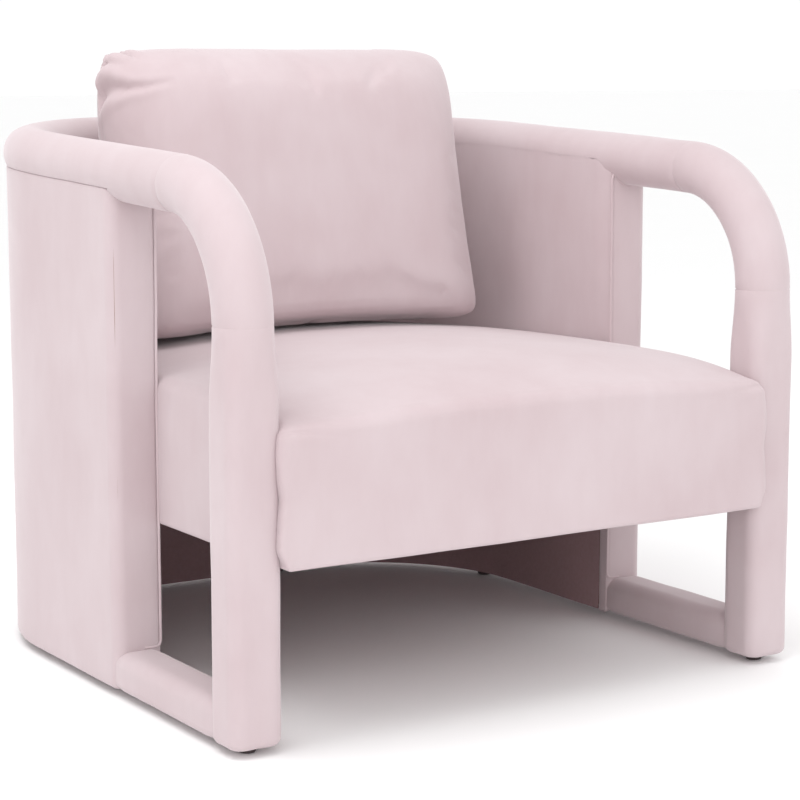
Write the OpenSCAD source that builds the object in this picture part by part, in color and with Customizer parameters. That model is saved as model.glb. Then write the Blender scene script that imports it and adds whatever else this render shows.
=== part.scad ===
// Barrel armchair: a padded shell wraps round the back, its roll runs forward as arms and bends down
// into front legs, and a low rail joins each leg to the shell. A sprung seat box is bolted between the
// sides, and a loose cushion with a zipped cover stands on it. The origin is on the floor, in the middle
// of the chair: +X is to the right seen from the front, +Y points to the back, +Z is up.

/* [Overall] */
// Width over the outer faces of the two sides
chair_width = 780; // [680:1:960]
// Depth from the front of the legs to the back of the shell
chair_depth = 813; // [720:1:1000]
// Height of the top of the arms, halfway along the chair
arm_height = 650; // [560:1:780]
// Fall of the arms towards the front, in degrees
arm_slope = 2.3; // [0.5:0.1:4]
// Outer radius of the round back corners, seen from above
corner_radius = 288; // [200:1:320]

/* [Shell and roll] */
// Thickness of the padded shell wall
wall_thickness = 58; // [52:1:70]
// Diameter of the padded roll that tops the shell and forms the arms
roll_diameter = 66; // [62:1:80]
// Outer radius of the bend from arm to leg
bend_radius = 176; // [120:1:200]
// Width of the timber square inside the arms, bends and legs
core_width = 32; // [24:1:36]
// Thickness of the plywood hoops
hoop_thickness = 18; // [12:1:24]
// Thickness of the hardboard skins on the timber frame
board_thickness = 3; // [2:0.5:5]
// Thickness of the foam on the inside of the shell
inner_foam = 14; // [8:1:16]
// Thickness of the wadding on the outside of the shell
outer_wadding = 5; // [3:1:8]

/* [Legs and low rails] */
// Width of a leg, across the chair
leg_width = 64; // [56:1:80]
// Depth of a leg, front to back
leg_depth = 60; // [52:1:76]
// Open length between the leg and the shell
window_length = 234; // [160:1:270]
// Height of the low rail between the leg and the shell
rail_height = 46; // [40:1:70]
// Height of the glides, which is the gap under the fabric
glide_height = 9; // [6:1:20]
// Diameter of a glide
glide_diameter = 20; // [14:1:26]

/* [Seat] */
// Height of the underside of the seat box
seat_underside = 202; // [150:1:240]
// Height of the seat's top at its sides
seat_height = 372; // [345:1:430]
// How much higher the middle of the seat is than its sides
seat_crown = 24; // [8:1:40]
// How far the seat box stands in front of the legs
seat_proud = 12; // [4:1:30]
// Radius of the seat's top front edge
seat_edge_radius = 36; // [15:1:50]
// Height of the timber rails of the seat box
seat_rail_height = 80; // [60:1:95]
// Thickness of the timber rails of the seat box
seat_rail_thickness = 22; // [18:1:30]
// Thickness of the foam wrapped round the seat box
seat_border_foam = 12; // [6:1:20]

/* [Springs] */
// Number of spring strands
strand_count = 5; // [3:1:7]
// Diameter of the spring wire
spring_wire = 3.6; // [3:0.1:4.2]
// Width of a strand's loops
spring_width = 50; // [40:1:60]
// Number of half loops in a strand
half_loops = 19; // [13:2:25]

/* [Loose cushion] */
// Width of the cushion
cushion_width = 552; // [480:1:560]
// Height of the cushion, along its own slope
cushion_height = 352; // [300:1:420]
// Thickness of the cushion at its middle
cushion_thickness = 176; // [120:1:190]
// Backward lean of the cushion, in degrees
cushion_lean = 8; // [0:1:12]
// Length of the cushion's zip
zip_length = 440; // [300:1:460]

/* [Hidden] */
$fn = 96;
hull_fn = 32;
cover = 1.5;
lining = 1;
fit_gap = 0.5;
bore_gap = 0.1;
soft_gap = 0.4;
seam_margin = 2;

// Room kept beside the seat for the piping that runs down each front end
welt_room = 3;
far = 2000;

half_width = chair_width / 2;
// the roll is never narrower than the wall that it covers
roll_radius = max(roll_diameter, wall_thickness + 2 * seam_margin) / 2;
roll_overhang = roll_radius - wall_thickness / 2;
front_y = (seat_proud - roll_overhang - chair_depth) / 2;
back_y = front_y + chair_depth;
seat_front_y = front_y - seat_proud;
corner_x = half_width - corner_radius;
corner_y = back_y - corner_radius;
side_x = half_width - wall_thickness / 2;
leg_y = front_y + leg_depth / 2;
leg_back_y = front_y + leg_depth;
shell_front_y = leg_back_y + window_length;

// Heights: the roll lies in a plane that slopes with the arms
roll_z = arm_height - roll_radius;
seam_drop = sqrt(roll_radius * roll_radius - wall_thickness * wall_thickness / 4);
bend_line = bend_radius - roll_radius;
bend_y = leg_y + bend_line;
bend_z = roll_z + tan(arm_slope) * bend_y - bend_line / cos(arm_slope);
bend_start_y = bend_y - bend_line * sin(arm_slope);
rail_top = glide_height + rail_height;

// Layers of the shell wall, as insets from its outer face
wadding_in = cover;
outer_board_in = wadding_in + outer_wadding;
frame_in = outer_board_in + board_thickness;
foam_end_in = wall_thickness - cover;
inner_board_end_in = foam_end_in - inner_foam;
frame_end_in = inner_board_end_in - board_thickness;
frame_depth = frame_end_in - frame_in;
post_length = 40;
lap_length = 50;
stud_width = 34;
stud_angles = [10, 45, 78];
stud_inset = 2;

// Legs and low rails
leg_corner = 16;
core_x0 = side_x - core_width / 2;
sill_core_height = 26;
sill_core_z = glide_height + (rail_height - sill_core_height) / 2;
sill_corner = 14;
strip_width = 14;
welt_r = 1.8;

// Seat box, from the outside inwards
// the seat stands clear of the legs, and of the rounder bends where low arms bring them down to it
beside_seat = bend_z < seat_height + seat_crown ? max(leg_width / 2, roll_radius) : leg_width / 2;
seat_half = min(side_x - beside_seat, half_width - wall_thickness - welt_room) - fit_gap;
seat_inset = half_width - seat_half;
seat_rail_in = seat_inset + cover + seat_border_foam;
seat_rail_x = half_width - seat_rail_in;
seat_rail_front = seat_front_y + cover + seat_border_foam;
seat_rail_back = corner_y;
seat_base_z = seat_underside + lining;
seat_rail_top = seat_base_z + seat_rail_height;
seat_hoop_z = seat_rail_top + 10;
spring_cover_t = 1.5;
clip_size = [20, 14, 7];
clip_slot = spring_wire + 0.4;
clip_floor = 1.2;
spring_z = seat_rail_top + clip_floor + clip_slot / 2;
spring_cover_z = seat_rail_top + clip_size[2];
foam_z = spring_cover_z + spring_cover_t;
crown_radius = (seat_half * seat_half + seat_crown * seat_crown) / (2 * seat_crown);
deck_thickness = 12;
block_size = 60;
block_height = 28;
ledger_width = 280;
ledger_height = 50;

// Springs run from the front rail to the back rail
spring_front_y = seat_rail_front + seat_rail_thickness / 2;
spring_back_y = seat_rail_back - seat_rail_thickness / 2;
loop_pitch = (spring_back_y - spring_front_y) / half_loops;
strand_gap = 2 * (seat_rail_x - seat_rail_thickness) / (strand_count + 0.5);
wire_sides = 6;
arc_step = 45;

// Bolts that hold the seat box between the sides: place along Y, and the far end of the thread
bolt_r = 4;
bolt_z = seat_base_z + seat_rail_height / 2;
bolt_head_r = 6.8;
bolt_head_h = 5.3;
nut_r = 5.4;
nut_length = 12;
nut_flange_r = 9.5;
nut_flange_t = 1.5;
post_y = shell_front_y + cover + post_length / 2;
leg_nut_x = side_x + core_width / 2;
post_nut_x = half_width - frame_in;
bolt_head_x = seat_rail_x - seat_rail_thickness;
bolts = [[leg_y, leg_nut_x], [post_y, post_nut_x]];

// Glides: one under each leg, four under the shell
nail_r = 2;
nail_head_r = 4;
nail_head_h = 1.5;
nail_z = 3;
nail_length = 16;
shell_mid_r = corner_radius - wall_thickness / 2;
glide_angles = [18, 90];

// Loose cushion, in its own frame: the middle of its underside, leant back
insert_gap = 0.3;
cushion_corner = 66;
// from the inside of the back wall to the middle of the cushion's foot
cushion_reach = 218;
cushion_y = back_y - wall_thickness - cushion_reach;
cushion_drop = cushion_corner * (1 - cos(cushion_lean))
    + (cushion_thickness / 2 - cushion_corner) * sin(cushion_lean);
cushion_z = seat_height + seat_crown + soft_gap + cushion_drop;
zip_rise = 110;
tape_width = 24;
tape_thickness = 1.2;
coil_width = 6;
coil_height = 1.6;
slider_length = 13;
slider_wall = 1.4;
slider_gap = 0.3;
slider_y = cushion_thickness / 2 + tape_thickness;
slider_top = slider_y + coil_height + slider_gap + slider_wall;
slider_x = (slider_length - zip_length) / 2;
pin_r = 0.8;
ear_r = 1.8;
ear_thickness = 1.2;
eye_r = 2;
eye_width = 4;
pin_y = slider_top + eye_r + slider_gap;
pull_length = 26;
pull_width = 7;
pull_thickness = 1.4;

velvet = "#e8d2d5";
velvet_shade = "#dcc0c6";
timber = "#d8b98a";
ply = "#c9a46f";
board = "#9c7a55";
foam = "#f3e7b9";
wadding = "#f4f4f0";
cambric = "#4c3b3d";
steel = "#a9adb2";
jute = "#b89a6a";
plastic = "#5b5552";

// ---- Shared shapes ----

// Everything drawn inside is copied to the other side of the chair
module both_sides() {
    children();
    mirror([1, 0, 0]) children();
}

// Puts the right-hand piece on the left
module on_left() {
    mirror([1, 0, 0]) children();
}

// Frame of the sloping roll: its own Z = 0 is the plane of the roll's centre line
module sloped() {
    translate([0, 0, roll_z]) rotate([arm_slope, 0, 0]) children();
}

// Half spaces above and below a given height over the roll's centre plane
module above_slope(height) {
    sloped() translate([-far / 2, -far / 2, height]) cube(far);
}

module below_slope(height) {
    sloped() translate([-far / 2, -far / 2, height - far]) cube(far);
}

// Half spaces in front of and behind the shell's front ends
module before_shell() {
    translate([-far / 2, shell_front_y - far, -far / 2]) cube(far);
}

module behind_shell_front() {
    translate([-far / 2, shell_front_y, -far / 2]) cube(far);
}

// Outline of the shell from above, inset from its outer face and cut off at a front line
module outline(inset, y0) {
    r = corner_radius - inset;
    intersection() {
        union() {
            translate([-(half_width - inset), -far]) square([2 * (half_width - inset), far + corner_y]);
            for (s = [-1, 1]) translate([s * corner_x, corner_y]) circle(r);
            translate([-corner_x, corner_y - 1]) square([2 * corner_x, r + 1]);
        }
        translate([-far, y0]) square([2 * far, 2 * far]);
    }
}

// Layer of the shell wall between two insets, standing from z0 up to z1
module wall_layer(inset_out, inset_in, y0, z0, z1) {
    translate([0, 0, z0]) linear_extrude(z1 - z0) difference() {
        outline(inset_out, y0);
        outline(inset_in, y0 - 1);
    }
}

// Layer of the wall that reaches up to the seam under the roll
module tall_layer(inset_out, inset_in, y0, z0) {
    difference() {
        wall_layer(inset_out, inset_in, y0, z0, arm_height + 50);
        above_slope(-seam_drop);
    }
}

// Section of the roll on the shell: a circle with its underside cut flat on the seam
module roll_section(r) {
    intersection() {
        circle(r);
        translate([-roll_radius, -seam_drop]) square([2 * roll_radius, 2 * roll_radius]);
    }
}

// Sections of the fabric round the roll, and round an arm or a bend
module roll_skin() {
    difference() {
        roll_section(roll_radius);
        circle(roll_radius - cover);
    }
}

module tube_skin() {
    difference() {
        circle(roll_radius);
        circle(roll_radius - cover);
    }
}

// Extrudes a section along the arm, from y0 back to y1
module along_arm(y0, y1) {
    sloped() translate([side_x, y1 / cos(arm_slope), 0]) rotate([90, 0, 0])
        linear_extrude((y1 - y0) / cos(arm_slope)) children();
}

// Sweeps a section round the shell's two corners and along its back
module round_back() {
    cy = corner_y / cos(arm_slope);
    both_sides() sloped() translate([corner_x, cy, 0]) rotate_extrude(angle = 90)
        translate([shell_mid_r, 0]) children();
    sloped() translate([-corner_x, cy + shell_mid_r, 0]) rotate([90, 0, 90])
        linear_extrude(2 * corner_x) children();
}

// Sweeps a section round the bend from arm to leg, on the right-hand side
module round_bend() {
    translate([side_x, bend_y, bend_z]) rotate([90, 0, 90]) rotate([0, 0, 90 + arm_slope])
        rotate_extrude(angle = 90 - arm_slope) translate([bend_line, 0]) children();
}

module rounded(size, r) {
    union() {
        translate([-size[0] / 2 + r, -size[1] / 2]) square([size[0] - 2 * r, size[1]]);
        translate([-size[0] / 2, -size[1] / 2 + r]) square([size[0], size[1] - 2 * r]);
        for (sx = [-1, 1], sy = [-1, 1])
            translate([sx * (size[0] / 2 - r), sy * (size[1] / 2 - r)]) circle(r);
    }
}

// Leg shape inset from the fabric's outer face, between two heights
module leg_block(inset, z0, z1) {
    translate([side_x, leg_y, z0]) linear_extrude(z1 - z0)
        rounded([leg_width - 2 * inset, leg_depth - 2 * inset], leg_corner - inset);
}

// Low rail's shape, inset from the fabric's outer face, from the leg to the shell
module sill_block(inset, y0, y1) {
    translate([side_x, y1, glide_height + rail_height / 2]) rotate([90, 0, 0]) linear_extrude(y1 - y0)
        rounded([wall_thickness - 2 * inset, rail_height - 2 * inset], sill_corner - inset);
}

module sill_core() {
    y0 = leg_y + core_width / 2;
    translate([core_x0, y0, sill_core_z])
        cube([core_width, shell_front_y + cover - y0, sill_core_height]);
}

// Section of the timber inside the arm, level with the seam underneath
module arm_core() {
    translate([-core_width / 2, -seam_drop]) square([core_width, seam_drop + core_width / 2]);
}

// Cylinder along X from x0 to x1
module x_rod(r, x0, x1) {
    translate([x0, 0, 0]) rotate([0, 90, 0]) cylinder(r = r, h = x1 - x0);
}

// Clearance bores of the two bolts on the right-hand side
module bolt_bores() {
    for (b = bolts) translate([0, b[0], bolt_z]) x_rod(bolt_r + bore_gap, bolt_head_x - 1, b[1]);
}

// Outside of a tee nut whose flange ends at x
module nut_shape(x) {
    x_rod(nut_r, x - nut_length, x);
    x_rod(nut_flange_r, x - nut_flange_t, x);
}

// Clearance holes for the glide nails
module nail_bores() {
    at_glides() cylinder(r = nail_r, h = glide_height + nail_length);
}

// Every glide's place on the floor
module at_glides() {
    both_sides() {
        translate([side_x, leg_y, 0]) children();
        for (a = glide_angles)
            translate([corner_x + shell_mid_r * cos(a), corner_y + shell_mid_r * sin(a), 0]) children();
    }
}

// ---- Timber side loops ----

module leg_post() {
    color(timber) difference() {
        translate([core_x0, leg_y - core_width / 2, glide_height + cover])
            cube([core_width, core_width, bend_z - glide_height - cover]);
        bolt_bores();
        translate([0, leg_y, bolt_z]) nut_shape(leg_nut_x);
        nail_bores();
    }
}

module arm_arch() {
    color(ply) round_bend() square(core_width, center = true);
}

module arm_bar() {
    color(timber) along_arm(bend_start_y, shell_front_y + lap_length) arm_core();
}

module sill_bar() {
    color(timber) sill_core();
}

module front_post() {
    base_z = glide_height + cover + hoop_thickness;
    color(timber) difference() {
        translate([half_width - frame_end_in, shell_front_y + cover, base_z])
            cube([frame_depth, post_length, arm_height]);
        above_slope(-seam_drop - hoop_thickness);
        bolt_bores();
        translate([0, post_y, bolt_z]) nut_shape(post_nut_x);
    }
}

// ---- Shell frame ----

module bottom_hoop() {
    color(ply) difference() {
        wall_layer(frame_in, frame_end_in, shell_front_y + cover, glide_height + cover,
            glide_height + cover + hoop_thickness);
        nail_bores();
    }
}

module seat_hoop_body() {
    wall_layer(frame_in, frame_end_in, shell_front_y + cover + post_length, seat_hoop_z,
        seat_hoop_z + hoop_thickness);
}

module seat_hoop() {
    color(ply) seat_hoop_body();
}

module top_hoop() {
    color(ply) difference() {
        tall_layer(frame_in, frame_end_in, shell_front_y + cover, roll_z - 100);
        below_slope(-seam_drop - hoop_thickness);
    }
}

// Upright studs between the hoops: two round each corner and two at the back
module back_studs() {
    base_z = glide_height + cover + hoop_thickness;
    depth = frame_depth - 2 * stud_inset;
    color(timber) difference() {
        both_sides() {
            for (a = stud_angles) translate([corner_x, corner_y, base_z]) rotate([0, 0, a])
                translate([corner_radius - frame_end_in + stud_inset, -stud_width / 2, 0])
                    cube([depth, stud_width, arm_height]);
        }
        seat_hoop_body();
        above_slope(-seam_drop - hoop_thickness);
    }
}

module inner_board() {
    color(board) difference() {
        tall_layer(frame_end_in, inner_board_end_in, shell_front_y + cover, glide_height + cover);
        both_sides() bolt_bores();
    }
}

module outer_board() {
    color(board) tall_layer(outer_board_in, frame_in, shell_front_y + cover, glide_height + cover);
}

// ---- Seat box ----

// Outline of the seat box from above, inset from its outer face
module seat_plan(inset) {
    outline(seat_inset + inset, seat_front_y + inset);
}

// Seat box with its round front edge and crowned top, inset from its outer face, from z0 upwards
module seat_solid(inset, z0) {
    top = seat_height + seat_crown;
    r = seat_edge_radius;
    intersection() {
        translate([0, 0, z0]) linear_extrude(top - z0) seat_plan(inset);
        translate([-half_width, 0, 0]) rotate([90, 0, 90]) linear_extrude(2 * half_width) union() {
            translate([seat_front_y + inset, 0]) square([far, top - r]);
            translate([seat_front_y + r, 0]) square([far, top - inset]);
            translate([seat_front_y + r, top - r]) circle(r - inset);
        }
        translate([0, 0, top - crown_radius]) rotate([90, 0, 0])
            cylinder(r = crown_radius - inset, h = far, center = true, $fn = 720);
    }
}

module seat_rail(size, at) {
    color(timber) difference() {
        translate(at) cube(size);
        both_sides() bolt_bores();
    }
}

module seat_front_rail() {
    seat_rail([2 * seat_rail_x, seat_rail_thickness, seat_rail_height],
        [-seat_rail_x, seat_rail_front, seat_base_z]);
}

module seat_back_rail() {
    inner_x = seat_rail_x - seat_rail_thickness;
    seat_rail([2 * inner_x, seat_rail_thickness, seat_rail_height],
        [-inner_x, seat_rail_back - seat_rail_thickness, seat_base_z]);
}

module seat_side_rail() {
    y0 = seat_rail_front + seat_rail_thickness;
    seat_rail([seat_rail_thickness, seat_rail_back - y0, seat_rail_height],
        [seat_rail_x - seat_rail_thickness, y0, seat_base_z]);
}

// Three-cornered blocks that brace the inside corners of the rails
module corner_blocks() {
    inner_x = seat_rail_x - seat_rail_thickness;
    y0 = seat_rail_front + seat_rail_thickness;
    y1 = seat_rail_back - seat_rail_thickness;
    color(timber) both_sides() translate([0, 0, seat_base_z]) linear_extrude(block_height) {
        polygon([[inner_x, y0], [inner_x, y0 + block_size], [inner_x - block_size, y0]]);
        polygon([[inner_x, y1], [inner_x - block_size, y1], [inner_x, y1 - block_size]]);
    }
}

module rear_deck_board() {
    color(ply) translate([0, 0, foam_z - deck_thickness]) linear_extrude(deck_thickness)
        outline(seat_rail_in, seat_rail_back);
}

module rear_ledger() {
    color(timber) translate([0, 0, foam_z - deck_thickness - ledger_height]) linear_extrude(ledger_height)
        intersection() {
            outline(seat_rail_in, back_y - seat_rail_in - seat_rail_thickness);
            translate([-ledger_width / 2, 0]) square([ledger_width, far]);
        }
}

// Route of one strand: bars across the chair joined by half circles, left and right in turn
function loop_points(i) =
    let (r = loop_pitch / 2, a = spring_width / 2 - r, s = i % 2 == 0 ? 1 : -1)
    let (y = spring_front_y + i * loop_pitch + r)
    [for (t = [-90 : arc_step : 90 - arc_step]) [s * (a + r * cos(t)), y + r * sin(t)]];
function strand_route() =
    let (a = (spring_width - loop_pitch) / 2, s = half_loops % 2 == 0 ? 1 : -1)
    concat([[-a, spring_front_y]], [for (i = [0 : half_loops - 1]) each loop_points(i)],
        [[-s * a, spring_back_y], [s * a, spring_back_y]]);
function heading(p, i) =
    let (d = p[min(i + 1, len(p) - 1)] - p[max(i - 1, 0)]) d / norm(d);

// Wire bent along a flat route, as rings of points joined by faces
module wire(route, r) {
    n = wire_sides;
    last = len(route) - 1;
    points = [for (i = [0 : last], k = [0 : n - 1])
        let (h = heading(route, i), c = r * cos(360 * k / n), z = r * sin(360 * k / n))
        [route[i][0] + h[1] * c, route[i][1] - h[0] * c, z]];
    walls = [for (i = [0 : last - 1], k = [0 : n - 1])
        let (m = (k + 1) % n) [i * n + k, (i + 1) * n + k, (i + 1) * n + m, i * n + m]];
    ends = [[for (k = [0 : n - 1]) k], [for (k = [n - 1 : -1 : 0]) last * n + k]];
    polyhedron(points, concat(walls, ends));
}

// Every strand's place across the seat
module at_strands() {
    for (i = [0 : strand_count - 1])
        translate([(i - (strand_count - 1) / 2) * strand_gap, 0, 0]) children();
}

module sinuous_springs() {
    color(steel) at_strands() translate([0, 0, spring_z]) wire(strand_route(), spring_wire / 2);
}

module spring_clips() {
    color(plastic) at_strands() for (y = [spring_front_y, spring_back_y]) difference() {
        translate([-clip_size[0] / 2, y - clip_size[1] / 2, seat_rail_top]) cube(clip_size);
        translate([-clip_size[0], y - clip_slot / 2, seat_rail_top + clip_floor])
            cube([2 * clip_size[0], clip_slot, clip_slot]);
    }
}

module spring_cover() {
    color(jute) translate([-seat_rail_x, seat_rail_front, spring_cover_z])
        cube([2 * seat_rail_x, seat_rail_back - seat_rail_front, spring_cover_t]);
}

module seat_foam() {
    color(foam) seat_solid(cover, foam_z);
}

module seat_border_foam() {
    color(foam) difference() {
        translate([0, 0, seat_base_z]) linear_extrude(foam_z - seat_base_z) difference() {
            seat_plan(cover);
            seat_plan(cover + seat_border_foam);
        }
        both_sides() bolt_bores();
    }
}

module seat_cover() {
    color(velvet) difference() {
        seat_solid(0, seat_underside);
        seat_solid(cover, seat_underside - 1);
        both_sides() bolt_bores();
    }
}

module seat_dust_cover() {
    color(cambric) translate([0, 0, seat_underside]) linear_extrude(lining) seat_plan(cover);
}

// ---- Padding ----

module inner_shell_foam() {
    color(foam) difference() {
        tall_layer(inner_board_end_in, foam_end_in, shell_front_y + cover, glide_height + cover);
        both_sides() bolt_bores();
    }
}

module outer_shell_wadding() {
    color(wadding) tall_layer(wadding_in, outer_board_in, shell_front_y + cover, glide_height + cover);
}

module roll_foam() {
    color(foam) {
        both_sides() along_arm(shell_front_y + lap_length, corner_y) roll_section(roll_radius - cover);
        round_back() roll_section(roll_radius - cover);
    }
}

module arm_foam() {
    color(foam) both_sides() difference() {
        union() {
            intersection() {
                along_arm(bend_start_y, shell_front_y + lap_length) circle(roll_radius - cover);
                before_shell();
            }
            intersection() {
                along_arm(bend_start_y, shell_front_y + lap_length) roll_section(roll_radius - cover);
                behind_shell_front();
            }
        }
        along_arm(bend_start_y - 1, shell_front_y + lap_length + 1) arm_core();
    }
}

module bend_foam() {
    color(foam) both_sides() round_bend() difference() {
        circle(roll_radius - cover);
        square(core_width, center = true);
    }
}

module leg_foam() {
    z0 = glide_height + cover;
    color(foam) both_sides() difference() {
        leg_block(cover, z0, bend_z);
        translate([core_x0, leg_y - core_width / 2, z0 - 1]) cube([core_width, core_width, bend_z]);
        sill_core();
        bolt_bores();
    }
}

module sill_foam() {
    color(foam) both_sides() difference() {
        sill_block(cover, leg_back_y, shell_front_y);
        sill_core();
    }
}

// ---- Covers ----

// The inside cover, with a narrow strip that turns in at each front end under the seat
module inner_shell_cover() {
    color(velvet) difference() {
        union() {
            tall_layer(foam_end_in, wall_thickness, shell_front_y + cover, seat_underside);
            both_sides()
                translate([half_width - wall_thickness, shell_front_y + cover, glide_height + cover])
                    cube([cover, strip_width, seat_underside - glide_height - cover]);
        }
        both_sides() bolt_bores();
    }
}

// The outside cover, turned under the bottom hoop
module outer_shell_cover() {
    y0 = shell_front_y + cover;
    color(velvet) difference() {
        union() {
            tall_layer(0, cover, y0, glide_height);
            wall_layer(cover, wall_thickness, y0, glide_height, glide_height + cover);
        }
        nail_bores();
    }
}

module end_panels() {
    color(velvet_shade) both_sides() difference() {
        translate([half_width - wall_thickness, shell_front_y, glide_height])
            cube([wall_thickness, cover, arm_height]);
        above_slope(-seam_drop);
        sill_core();
    }
}

module roll_cover() {
    color(velvet) {
        both_sides() intersection() {
            along_arm(bend_start_y, corner_y) roll_skin();
            behind_shell_front();
        }
        round_back() roll_skin();
    }
}

module arm_cover() {
    color(velvet) intersection() {
        along_arm(bend_start_y, shell_front_y + lap_length) tube_skin();
        before_shell();
    }
}

module bend_cover() {
    color(velvet) round_bend() tube_skin();
}

module leg_cover() {
    color(velvet) difference() {
        leg_block(0, glide_height, bend_z);
        leg_block(cover, glide_height + cover, bend_z + 1);
        sill_core();
        bolt_bores();
        nail_bores();
    }
}

module sill_cover() {
    color(velvet) difference() {
        sill_block(0, leg_back_y, shell_front_y);
        sill_block(cover, leg_back_y - 1, shell_front_y + 1);
    }
}

module shell_lining() {
    color(cambric) wall_layer(foam_end_in, wall_thickness, shell_front_y + cover + strip_width,
        glide_height + cover, seat_underside);
}

// Piping up the inside edge of each front end, just outside the corner that it hides
module edge_welts() {
    offset_in = welt_r / sqrt(2);
    color(velvet_shade) both_sides() difference() {
        translate([half_width - wall_thickness - offset_in, shell_front_y - offset_in, rail_top])
            cylinder(r = welt_r, h = arm_height - rail_top);
        above_slope(-roll_radius - welt_r);
    }
}

// ---- Glides and fasteners ----

module glide_nail() {
    translate([0, 0, nail_z]) cylinder(r = nail_head_r, h = nail_head_h);
    translate([0, 0, nail_z]) cylinder(r = nail_r, h = glide_height + nail_length - nail_z);
}

module glide_pads() {
    color(plastic) at_glides() difference() {
        cylinder(d = glide_diameter, h = glide_height);
        glide_nail();
    }
}

module glide_nails() {
    color(steel) at_glides() glide_nail();
}

module side_bolts() {
    color(steel) both_sides() for (b = bolts) translate([0, b[0], bolt_z]) {
        x_rod(bolt_r, bolt_head_x, b[1] - 1);
        translate([bolt_head_x - bolt_head_h, 0, 0]) rotate([0, 90, 0])
            cylinder(r = bolt_head_r, h = bolt_head_h, $fn = 6);
    }
}

module tee_nuts() {
    color(steel) both_sides() for (b = bolts) translate([0, b[0], bolt_z]) difference() {
        nut_shape(b[1]);
        x_rod(bolt_r + bore_gap, b[1] - nut_length - 1, b[1] + 1);
    }
}

// ---- Loose cushion ----

// The cushion's own frame
module cushion_frame() {
    translate([0, cushion_y, cushion_z]) rotate([-cushion_lean, 0, 0]) children();
}

module cushion_block(inset) {
    length = cushion_width - 2 * inset;
    cushion_frame() translate([-length / 2, 0, cushion_height / 2]) rotate([90, 0, 90])
        linear_extrude(length)
            rounded([cushion_thickness - 2 * inset, cushion_height - 2 * inset], cushion_corner - inset);
}

module cushion_insert() {
    color(wadding) cushion_block(cover + insert_gap);
}

module cushion_cover() {
    color(velvet) difference() {
        cushion_block(0);
        cushion_block(cover);
    }
}

// Tape and coil of the zip, on the flat of the cushion's back
module zip_tape() {
    color(velvet_shade) cushion_frame() {
        translate([-zip_length / 2, cushion_thickness / 2, zip_rise - tape_width / 2])
            cube([zip_length, tape_thickness, tape_width]);
        translate([-zip_length / 2, cushion_thickness / 2, zip_rise - coil_width / 2])
            cube([zip_length, tape_thickness + coil_height, coil_width]);
    }
}

// Slider: a channel over the coil, with two ears and a pin for the pull
module zip_slider() {
    inner = coil_width + 2 * slider_gap;
    outer = inner + 2 * slider_wall;
    color(steel) cushion_frame() translate([slider_x, 0, zip_rise]) {
        difference() {
            translate([-slider_length / 2, slider_y + slider_gap, -outer / 2])
                cube([slider_length, slider_top - slider_y - slider_gap, outer]);
            translate([-slider_length, slider_y, -inner / 2])
                cube([2 * slider_length, coil_height + slider_gap, inner]);
        }
        for (z = [-eye_width / 2 - slider_gap - ear_thickness, eye_width / 2 + slider_gap]) hull() {
            translate([0, pin_y, z]) cylinder(r = ear_r, h = ear_thickness, $fn = hull_fn);
            translate([-ear_r, slider_top - slider_gap, z]) cube([2 * ear_r, slider_gap, ear_thickness]);
        }
        translate([0, pin_y, -eye_width / 2 - slider_gap - ear_thickness])
            cylinder(r = pin_r, h = eye_width + 2 * (slider_gap + ear_thickness));
    }
}

module zip_pull() {
    neck = ear_r + 2;
    color(steel) cushion_frame() translate([slider_x, pin_y, zip_rise]) difference() {
        union() {
            translate([0, 0, -eye_width / 2]) cylinder(r = eye_r, h = eye_width);
            translate([-neck, -pull_thickness / 2, -eye_width / 2]) cube([neck, pull_thickness, eye_width]);
            translate([-pull_length, -pull_thickness / 2, -pull_width / 2])
                cube([pull_length - neck, pull_thickness, pull_width]);
        }
        translate([0, 0, -eye_width]) cylinder(r = pin_r + bore_gap, h = 2 * eye_width);
    }
}

on_left() leg_post();  // left_leg_post
leg_post();  // right_leg_post
on_left() arm_arch();  // left_arm_arch
arm_arch();  // right_arm_arch
on_left() arm_bar();  // left_arm_bar
arm_bar();  // right_arm_bar
on_left() sill_bar();  // left_sill_bar
sill_bar();  // right_sill_bar
on_left() front_post();  // left_front_post
front_post();  // right_front_post
bottom_hoop();
seat_hoop();
top_hoop();
back_studs();
inner_board();
outer_board();
seat_front_rail();
seat_back_rail();
on_left() seat_side_rail();  // left_seat_rail
seat_side_rail();  // right_seat_rail
corner_blocks();
rear_deck_board();
rear_ledger();
sinuous_springs();
spring_clips();
spring_cover();
seat_foam();
seat_border_foam();
seat_cover();
seat_dust_cover();
inner_shell_foam();
outer_shell_wadding();
roll_foam();
arm_foam();
bend_foam();
leg_foam();
sill_foam();
inner_shell_cover();
outer_shell_cover();
end_panels();
roll_cover();
on_left() arm_cover();  // left_arm_cover
arm_cover();  // right_arm_cover
on_left() bend_cover();  // left_bend_cover
bend_cover();  // right_bend_cover
on_left() leg_cover();  // left_leg_cover
leg_cover();  // right_leg_cover
on_left() sill_cover();  // left_sill_cover
sill_cover();  // right_sill_cover
shell_lining();
edge_welts();
glide_pads();
glide_nails();
side_bolts();
tee_nuts();
cushion_insert();
cushion_cover();
zip_tape();
zip_slider();
zip_pull();
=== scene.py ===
# %% [markdown]
# # A barrel armchair in blush velvet
# The chair is one padded wall that wraps round the back. A fat roll tops the wall, runs forward as two
# arms, bends down into the front legs, and a low rail joins each leg to the wall again. A sprung seat
# box is bolted between the sides, and one loose cushion stands on it. The frame, springs, bolts and
# glides come packed from the workshop model. This lesson dresses that frame: each cover is modelled
# over its padding, then given velvet that looks like velvet.

import math

import bmesh
import bpy
from mathutils import Matrix, Vector, noise


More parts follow.
